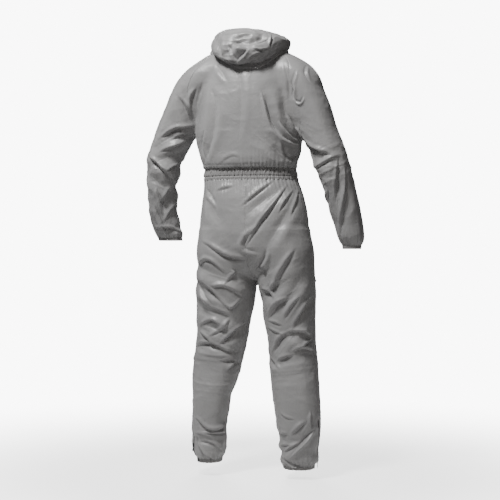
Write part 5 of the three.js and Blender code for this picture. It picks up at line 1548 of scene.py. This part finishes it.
neckWays = outward(neckLine)
foot = neckLine + neckWays * relief(neckLine, neckWays)[:, None]
inward = neckCentre - foot
inward[:, 2] = 0
inward = unit(inward)
stand = sizes["collarSides"] + (sizes["collarEnds"] - sizes["collarSides"]) * inward[:, 1] ** 2
lean = inward * hoodLook["lean"] + np.array([0, 0, 1.0])
collarTop = foot + unit(lean) * stand[:, None]
turns = np.arctan2(neckLine[:, 1] - neckCentre[1], neckLine[:, 0] - neckCentre[0])


def hoodRing(ring):
    left, right, front, back, zLeft, zRight, zFront, zBack = ring
    across, deep = np.cos(turns), np.sin(turns)
    halfWidth = np.abs(np.where(across < 0, left, right))
    halfDepth = np.abs(np.where(deep < 0, back, front) - neckCentre[1])
    power = hoodLook["roundness"]
    rho = ((np.abs(across) / halfWidth) ** power + (np.abs(deep) / halfDepth) ** power) ** (-1 / power)
    end = np.where(deep < 0, zBack, zFront)
    beside = np.where(across < 0, zLeft, zRight)
    return np.stack([across * rho, neckCentre[1] + deep * rho, beside + (end - beside) * deep * deep], 1)


hoodGrid = curveThrough([collarTop] + [hoodRing(ring) for ring in hoodRings], hoodLook["rows"])


def gridWays(grid):
    return unit(np.cross(np.gradient(grid, axis=1), np.gradient(grid, axis=0)))


def inView(p):
    off = p - viewAim
    scale = view["distance"] / (view["distance"] - off @ viewBack)
    return np.stack([off @ viewRight * scale, 0 * scale, off[:, 2] * scale + view["aimHeight"]], 1)


def planeLines():
    coarse, fine = [], []
    for first, via, last, width, depth in hoodFolds:
        line = curveThrough([(x, 0, z) for x, z in (first, via, last)], 12)
        coarse.append({"line": line, "width": width, "depth": depth})
    for points, width, depth, ridge in hoodCreases:
        line = curveThrough(inPlane(points), 10)
        sides = sideVectors(line, np.array([0, -1.0, 0])).sum(0)
        way = ridgeWays[ridge]
        if sides[0] * way[0] + sides[2] * way[1] < 0:
            line = line[::-1]
        fine.append({"line": line, "width": width, "depth": depth})
    return coarse, fine


hoodWays = gridWays(hoodGrid)
if (hoodWays[40, 128] @ np.array([0, -1, 0.2])) < 0:
    hoodWays = -hoodWays
coarseHood, fineHood = planeLines()
p, n = hoodGrid.reshape(-1, 3), hoodWays.reshape(-1, 3)
plane = np.array([0, -1.0, 0]) + 0 * n
facing = np.clip(-n[:, 1], 0, 1)
seen = p * np.array([1.0, 0, 1])
rise = reliefOf(coarseHood, seen, plane) * np.clip(facing * 2, 0, 1)
rise += reliefOf(fineHood, inView(p), plane, True) * np.clip((n @ viewBack) * 2, 0, 1)
twist = latticeNoise(p / 52.0, 71)[:, None] - 0.5
size = hoodLook["crumpleSize"]
crumple = 1 - np.abs(2 * latticeNoise(p / np.array([size * 1.7, size * 1.7, size]) + twist, 72) - 1)
tiny = 1 - np.abs(2 * latticeNoise(p / (size * 0.45) + twist, 73) - 1)
rise += hoodLook["crumple"] * (crumple ** 1.4 - 0.45) + 0.5 * (tiny - 0.5)
rowCount, columnCount = hoodGrid.shape[:2]
fromFoot = np.arange(rowCount)
rowShare = np.repeat(np.clip(fromFoot / hoodLook["easeFoot"], 0, 1), columnCount)
edgeShare = np.repeat(
    np.clip((rowCount - 1 - fromFoot) / hoodLook["easeEdge"], hoodLook["leastEdge"], 1), columnCount
)
hoodOuter = hoodGrid + hoodWays * (rise * rowShare * edgeShare).reshape(rowCount, columnCount)[..., None]

# Collar stand: a strip with a soft bulge between its two seams
t = np.linspace(0, 1, hoodLook["standRows"])[:, None]
standGrid = foot[None] * (1 - t[..., None]) + collarTop[None] * t[..., None]
standWays = unit(neckWays[None] * (1 - t[..., None]) + hoodWays[0][None] * t[..., None])
bulge = 1.6 * np.sin(np.pi * t) ** 0.6 - 0.9
uneven = 0.3 * np.sin(np.arange(len(foot)) * 0.9)[None] * np.sin(np.pi * t)
standGrid = standGrid + standWays * (bulge + uneven)[..., None]

for edge in ("left", "right"):
    hoodOuter, hoodWays = drawnIn(hoodOuter, hoodWays, edge, -outOfReach, outOfReach)
    standGrid, standWays = drawnIn(standGrid, standWays, edge, -outOfReach, outOfReach)


def hoodPiece(name, node, grid, ways, edges):
    outer, ends = grid - ways * seamSink(grid, edges)[..., None], ways
    if node.startswith("hood"):
        outer, ends = turnedUnder(outer, ways, "top", hoodLook["underRows"], hoodLook["underGap"])
    panel = makeGrid(name, outer, finishes["suitCloth"], False, facesInward(outer, ends))
    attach(panel, "suit")
    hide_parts(node)
    clothed[node] = {"outer": outer, "n": ends}
    print(name, outer.shape, "area", areaOf(panel))


marks = neckRound["marks"]
fromFront = 16
cut = [0, int(marks[fromFront]), int(marks[len(marks) - 1 - fromFront]), int(marks[-1])]
hoodPiece("collarStand", "collar", standGrid, standWays, ())
for name, node, first, last, edges in (
    ("hoodLeft", "hood_left", cut[0], cut[1], ("bottom", "right")),
    ("hoodCentre", "hood_centre", cut[1], cut[2], ("bottom", "left", "right")),
    ("hoodRight", "hood_right", cut[2], cut[3], ("bottom", "left")),
):
    hoodPiece(name, node, hoodOuter[:, first:last + 1], hoodWays[:, first:last + 1], edges)
print("hood made")

# Zips
zipLook = {
    "tapeHalf": 7.0, "step": 2.5, "narrowEnd": 12, "ripple": 0.12, "pitch": 1.5,
    "toothOut": 2.35, "toothIn": 0.45, "toothHigh": 0.85, "toothHalf": 0.42, "toothLow": 0.15, "toothLean": 0.14,
}
# Across the tape: share of its half width, height
tapeProfile = [
    (-1, -1.5), (-0.72, -1.15), (-0.42, -0.8), (-0.36, -0.15), (0.36, -0.15), (0.42, -0.8), (0.72, -1.15), (1, -1.5)
]
# A tooth's corners are two rows of three stations, low and high
toothFaces = [
    (0, 1, 3, 2), (1, 5, 7, 3), (5, 9, 11, 7), (9, 8, 10, 11), (0, 4, 5, 1), (4, 8, 9, 5), (2, 3, 7, 6), (6, 7, 11, 10)
]


def zipPiece(name, node, line, ways):
    line, ways = np.array(line), np.array(ways)
    along = unit(np.gradient(line, axis=0))
    across = unit(np.cross(along, ways))
    steps = runLengths(line)
    at = np.linspace(0, steps[-1], int(steps[-1] / zipLook["step"]))
    p, n, c = readAt(at, steps, line), unit(readAt(at, steps, ways)), unit(readAt(at, steps, across))
    half = zipLook["tapeHalf"] * np.clip(at / zipLook["narrowEnd"], 0.1, 1)
    tape = np.stack([p + c * (half * share)[:, None] + n * down for share, down in tapeProfile], 1)
    tape += (n * zipLook["ripple"] * np.sin(at / 3.1)[:, None])[:, None]
    tapeWays = np.repeat(n[:, None], len(tapeProfile), 1)
    tapeObj = makeGrid(name, tape, finishes["zipTape"], False, facesInward(tape, tapeWays))
    places = np.arange(3.0, steps[-1] - 1, zipLook["pitch"] / 2)
    p = readAt(places, steps, line)
    n, c, a = [unit(readAt(places, steps, values)) for values in (ways, across, along)]
    way = np.where(np.arange(len(places)) % 2 == 0, 1.0, -1.0)[:, None]
    corners = []
    for out, high in ((-zipLook["toothIn"], 0.75), (zipLook["toothOut"] * 0.5, 1.0), (zipLook["toothOut"], 0.35)):
        for sideways in (-1, 1):
            base = p + c * way * out + a * (zipLook["toothHalf"] * sideways)
            corners.append(base - n * zipLook["toothLow"])
            corners.append(base + n * (zipLook["toothHigh"] * high) - a * (zipLook["toothLean"] * sideways))
    teethAt = len(corners) * np.arange(len(places))[:, None, None]
    verts, faces = np.stack(corners, 1).reshape(-1, 3), (np.array(toothFaces)[None] + teethAt).reshape(-1, 4)
    teeth = makeMesh(name + "Coil", verts, faces, finishes["zipCoil"], np.zeros((len(verts), 2)))
    teeth.data.shade_flat()
    for obj in (tapeObj, teeth):
        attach(obj, "suit")
    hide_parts(node)
    print(name, "teeth", len(places))
    return [tapeObj, teeth]


# The first coarse row of a trouser panel whose edge lies below a height
def coarseRow(node, edge, below):
    line = legSeams["sideLeft"] if edge == 0 else join(legSeams["front"], legSeams["inLeft"])
    marksDown = line["marks"]
    for k, row in enumerate(marksDown):
        if grids[node][row, edge, 2] < below:
            return k, marksDown
    return 0, marksDown


# The zips run along the plain edges of the cloth, moved out by the main folds
def edgeOut(node, column):
    line = grids[node][:, column]
    n = outward(line) if node.startswith("bodice") else unit(steepest(line))
    return line + n * reliefOf(foldLines, line, n)[:, None], n


rowFront, marksFront = coarseRow("trouser_front_left", -1, sizes["frontZipEnd"])
low, lowWays = edgeOut("trouser_front_left", -1)
high, highWays = edgeOut("bodice_front_left", -1)
stop = marksFront[rowFront]
frontLine = np.vstack([low[: stop + 1][::-1], high, collarTop[:1]])
frontWays = np.vstack([lowWays[: stop + 1][::-1], highWays, hoodWays[0][:1]])
zips = {"front": zipPiece("frontZip", "front_zip", frontLine, frontWays)}
for which in ("left", "right"):
    node = f"trouser_back_{which}"
    top = sizes[which + "Hem"] + sizes["ankleZipLength"]
    row, marksDown = coarseRow(node, 0, top)
    line, ways = edgeOut(node, 0)
    line, ways = line[marksDown[row]:], ways[marksDown[row]:]
    end = line[-1:].copy()
    end[:, 2] = sizes[which + "Hem"] - sizes["hemBand"]
    zips[which] = zipPiece(
        "ankleZip" + which.title(), f"ankle_zip_{which}", np.vstack([line, end]), np.vstack([ways, ways[-1:]])
    )
print("zips made")

# Stitches
stitchLook = {"long": 2.7, "pitch": 3.7, "half": 0.34, "high": 0.3, "start": 2.0, "above": 0.12}
# A stitch's corners: along, across, up
stitchShape = [
    (-1, 0, -0.3), (-0.6, -1, -0.1), (0.6, -1, -0.1), (1, 0, -0.3), (0.6, 1, -0.1), (-0.6, 1, -0.1),
    (-0.55, 0, 1), (0.55, 0, 1),
]


def stitchVerts(line, ways):
    steps = runLengths(line)
    at = np.arange(stitchLook["start"], steps[-1] - stitchLook["start"], stitchLook["pitch"])
    p = readAt(at, steps, line)
    n, a = unit(readAt(at, steps, ways)), unit(readAt(at, steps, np.gradient(line, axis=0)))
    c = unit(np.cross(a, n))
    halfLong, half, high = stitchLook["long"] / 2, stitchLook["half"], stitchLook["high"]
    return np.stack([p + a * (x * halfLong) + c * (y * half) + n * (z * high) for x, y, z in stitchShape], 1)


stitchFaces = [(0, 1, 6), (1, 2, 7, 6), (2, 3, 7), (3, 4, 7), (4, 5, 6, 7), (5, 0, 6)]


def stitchPiece(name, rows):
    blocks = np.concatenate([stitchVerts(line, ways) for line, ways in rows])
    verts = blocks.reshape(-1, 3)
    corners = len(stitchShape)
    faces = [tuple(corners * k + corner for corner in face) for k in range(len(blocks)) for face in stitchFaces]
    mesh = bpy.data.meshes.new(name)
    mesh.from_pydata((verts / 1000).tolist(), [], faces)
    mesh.materials.append(finishes["sewingThread"])
    obj = bpy.data.objects.new(name, mesh)
    bpy.context.scene.collection.objects.link(obj)
    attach(obj, "suit")
    print(name, "stitches", len(blocks))
    return obj


# The line a given way in from an edge of a dressed panel
def insideLine(node, edge, away):
    outer, n = clothed[node]["outer"], clothed[node]["n"]
    if edge in ("left", "right"):
        outer, n = np.swapaxes(outer, 0, 1), np.swapaxes(n, 0, 1)
    if edge in ("right", "top"):
        outer, n = outer[::-1], n[::-1]
    outer, n = outer[:6], n[:6]
    far = runLengths(outer)
    k = np.clip((far < away).sum(0) - 1, 0, len(outer) - 2)
    j = np.arange(outer.shape[1])
    t = np.clip((away - far[k, j]) / np.maximum(far[k + 1, j] - far[k, j], 1e-6), 0, 1)[:, None]
    return outer[k, j] * (1 - t) + outer[k + 1, j] * t + n[k, j] * stitchLook["above"], n[k, j]


# Rows of stitches: panel, edges and how far in from them
stitchPlans = {
    "backStitching": ("bodice_back", [("left", 2.4), ("right", 2.4)]),
    "sleeveLeftStitching": ("sleeve_left_back", [("bottom", 2.4), ("left", 2.6), ("right", 2.6)]),
    "sleeveRightStitching": ("sleeve_right_back", [("bottom", 2.4), ("left", 2.6), ("right", 2.6)]),
    "seatLeftStitching": ("trouser_back_left", [("right", 2.2), ("right", 4.6), ("top", 3)]),
    "seatRightStitching": ("trouser_back_right", [("right", 2.2), ("top", 3)]),
    "frontLeftStitching": ("bodice_front_left", [("left", 2.4), ("right", 6.5)]),
    "frontRightStitching": ("bodice_front_right", [("right", 2.4), ("left", 6.5)]),
    "trouserLeftStitching": ("trouser_front_left", [("left", 2.6), ("right", 2.6)]),
    "trouserRightStitching": ("trouser_front_right", [("left", 2.6), ("right", 2.6)]),
    "hoodStitching": ("hood_centre", [("left", 2.4), ("right", 2.4)]),
}
stitched = {}
for name, (node, rows) in stitchPlans.items():
    stitched[node] = stitchPiece(name, [insideLine(node, edge, away) for edge, away in rows])
print("stitches made")

# Sheets of cloth: flat size, how they are held, area
sheetPlans = {
    "waistband": ((1.05, 0.044), "gathered", None),
    "cuff_left": ((0.27, 0.024), "gathered", None),
    "cuff_right": ((0.25, 0.024), "gathered", None),
    "hem_left": ((0.32, 0.025), "gathered", None),
    "hem_right": ((0.32, 0.025), "gathered", None),
    "collar": ((0.58, 0.022), "hung", None),
    "hood_left": ((0.26, 0.24), "draped", 0.046),
    "hood_centre": ((0.22, 0.24), "draped", 0.043),
    "hood_right": ((0.26, 0.24), "draped", 0.044),
}
zipOwners = {"bodice_front_left": "front", "trouser_back_left": "left", "trouser_back_right": "right"}
for node, (_, _, flat, area) in panelPlans.items():
    sheetPlans[node] = (flat, "hung", area)
for node, (flat, held, area) in sheetPlans.items():
    with_ = [stitched[node]] if node in stitched else []
    with_ += zips[zipOwners[node]] if node in zipOwners else []

# Metal of the sliders and pulls
for node in ("front_zip_slider", "front_zip_pull", "ankle_zip_left_slider", "ankle_zip_left_pull",
             "ankle_zip_right_slider", "ankle_zip_right_pull"):
    for slot in bpy.data.objects[node].material_slots:
        slot.material = finishes["zipMetal"]

# A pale round floor that fades into a pale surround
stageLook = {
    "floor": -1.475, "reach": 3.2, "hub": 0.0005, "fadeFrom": 0.5, "fadeTo": 2.4, "thin": 0.22,
    "pale": (0.84, 0.84, 0.84),
    "surroundSeen": 9.0, "surroundLight": 0.045, "rough": 0.9, "uneven": 1.02,
}


def stageMaterial():
    material = bpy.data.materials.new("paleStage")
    material.use_nodes = True
    tree = material.node_tree
    shader = tree.nodes["Principled BSDF"]
    where = addNode(tree, "ShaderNodeTexCoord")
    noise = addNode(tree, "ShaderNodeTexNoise", in_Scale=1.4, in_Detail=2.0)
    wire(tree, where.outputs["Object"], noise.inputs["Vector"])
    pale = stageLook["pale"]
    paler = tuple(c * stageLook["uneven"] for c in pale)
    wire(tree, mixColours(tree, noise.outputs["Fac"], pale, paler), shader.inputs["Base Color"])
    shader.inputs["Roughness"].default_value = stageLook["rough"]
    away = addNode(tree, "ShaderNodeVectorMath", operation="LENGTH")
    wire(tree, where.outputs["Object"], away.inputs[0])
    fade = addNode(tree, "ShaderNodeMapRange", interpolation_type="SMOOTHSTEP")
    wire(tree, away.outputs["Value"], fade.inputs["Value"])
    for socket, value in (("From Min", "fadeFrom"), ("From Max", "fadeTo"), ("To Min", "thin")):
        fade.inputs[socket].default_value = stageLook[value]
    clear = addNode(tree, "ShaderNodeBsdfTransparent")
    mix = addNode(tree, "ShaderNodeMixShader")
    wire(tree, fade.outputs["Result"], mix.inputs["Fac"])
    wire(tree, shader.outputs["BSDF"], mix.inputs[1])
    wire(tree, clear.outputs["BSDF"], mix.inputs[2])
    wire(tree, mix.outputs["Shader"], tree.nodes["Material Output"].inputs["Surface"])
    return material


def makeStage():
    rings, steps = np.linspace(0, stageLook["reach"] * 1000, 9)[1:], 64
    turn = np.arange(steps) * 2 * math.pi / steps
    grid = np.array([np.stack([r * np.cos(turn), r * np.sin(turn), 0 * turn], 1) for r in rings])
    grid = np.concatenate([grid[:1] * stageLook["hub"], grid])
    floor = makeMesh("paleFloor", grid.reshape(-1, 3), gridFaces(len(grid), steps, True), stageMaterial())
    floor.location = (0, 0, stageLook["floor"])


makeStage()

# Soft boxes: place in the camera's frame (right, towards the camera, up) in metres, size, power, tint, aim
lightPlans = {
    "keyAbove": ((-0.95, 1.4, 1.75), (0.5, 0.5), 122.0, (1.0, 0.995, 0.985), (0.0, 0.0, -0.6)),
    "fillRight": ((1.0, 2.8, -0.1), (1.2, 1.6), 10.0, (1.0, 0.96, 0.92), (0.0, 0.0, -0.7)),
    "frontAbove": ((-0.2, -2.5, 0.9), (1.0, 1.0), 85.0, (1.0, 1.0, 1.0), (0.0, 0.0, -0.75)),
    "sideLeft": ((-2.9, -0.6, 0.3), (1.0, 1.6), 12.0, (1.0, 1.0, 1.0), (0.0, 0.0, -0.75)),
}


def inCameraFrame(v):
    return Vector(viewRight * v[0] + viewBack * v[1] + np.array([0, 0, v[2]]))


def makeLights():
    for name, (place, size, power, tint, aim) in lightPlans.items():
        data = bpy.data.lights.new(name, "AREA")
        data.shape = "RECTANGLE"
        data.size, data.size_y = size
        data.energy = power
        data.color = tint
        lamp = bpy.data.objects.new(name, data)
        bpy.context.scene.collection.objects.link(lamp)
        lamp.location = inCameraFrame(place)
        lamp.rotation_euler = (inCameraFrame(aim) - lamp.location).to_track_quat("-Z", "Y").to_euler()
    world = bpy.data.worlds.new("studio")
    bpy.context.scene.world = world
    world.use_nodes = True
    tree = world.node_tree
    light = tree.nodes["Background"]
    seen = addNode(tree, "ShaderNodeBackground")
    for node, strength in ((light, "surroundLight"), (seen, "surroundSeen")):
        node.inputs["Color"].default_value = (1, 1, 1, 1)
        node.inputs["Strength"].default_value = stageLook[strength]
    path = addNode(tree, "ShaderNodeLightPath")
    mix = addNode(tree, "ShaderNodeMixShader")
    wire(tree, path.outputs["Is Camera Ray"], mix.inputs["Fac"])
    wire(tree, light.outputs["Background"], mix.inputs[1])
    wire(tree, seen.outputs["Background"], mix.inputs[2])
    wire(tree, mix.outputs["Shader"], tree.nodes["World Output"].inputs["Surface"])


makeLights()
print("stage and lights made")
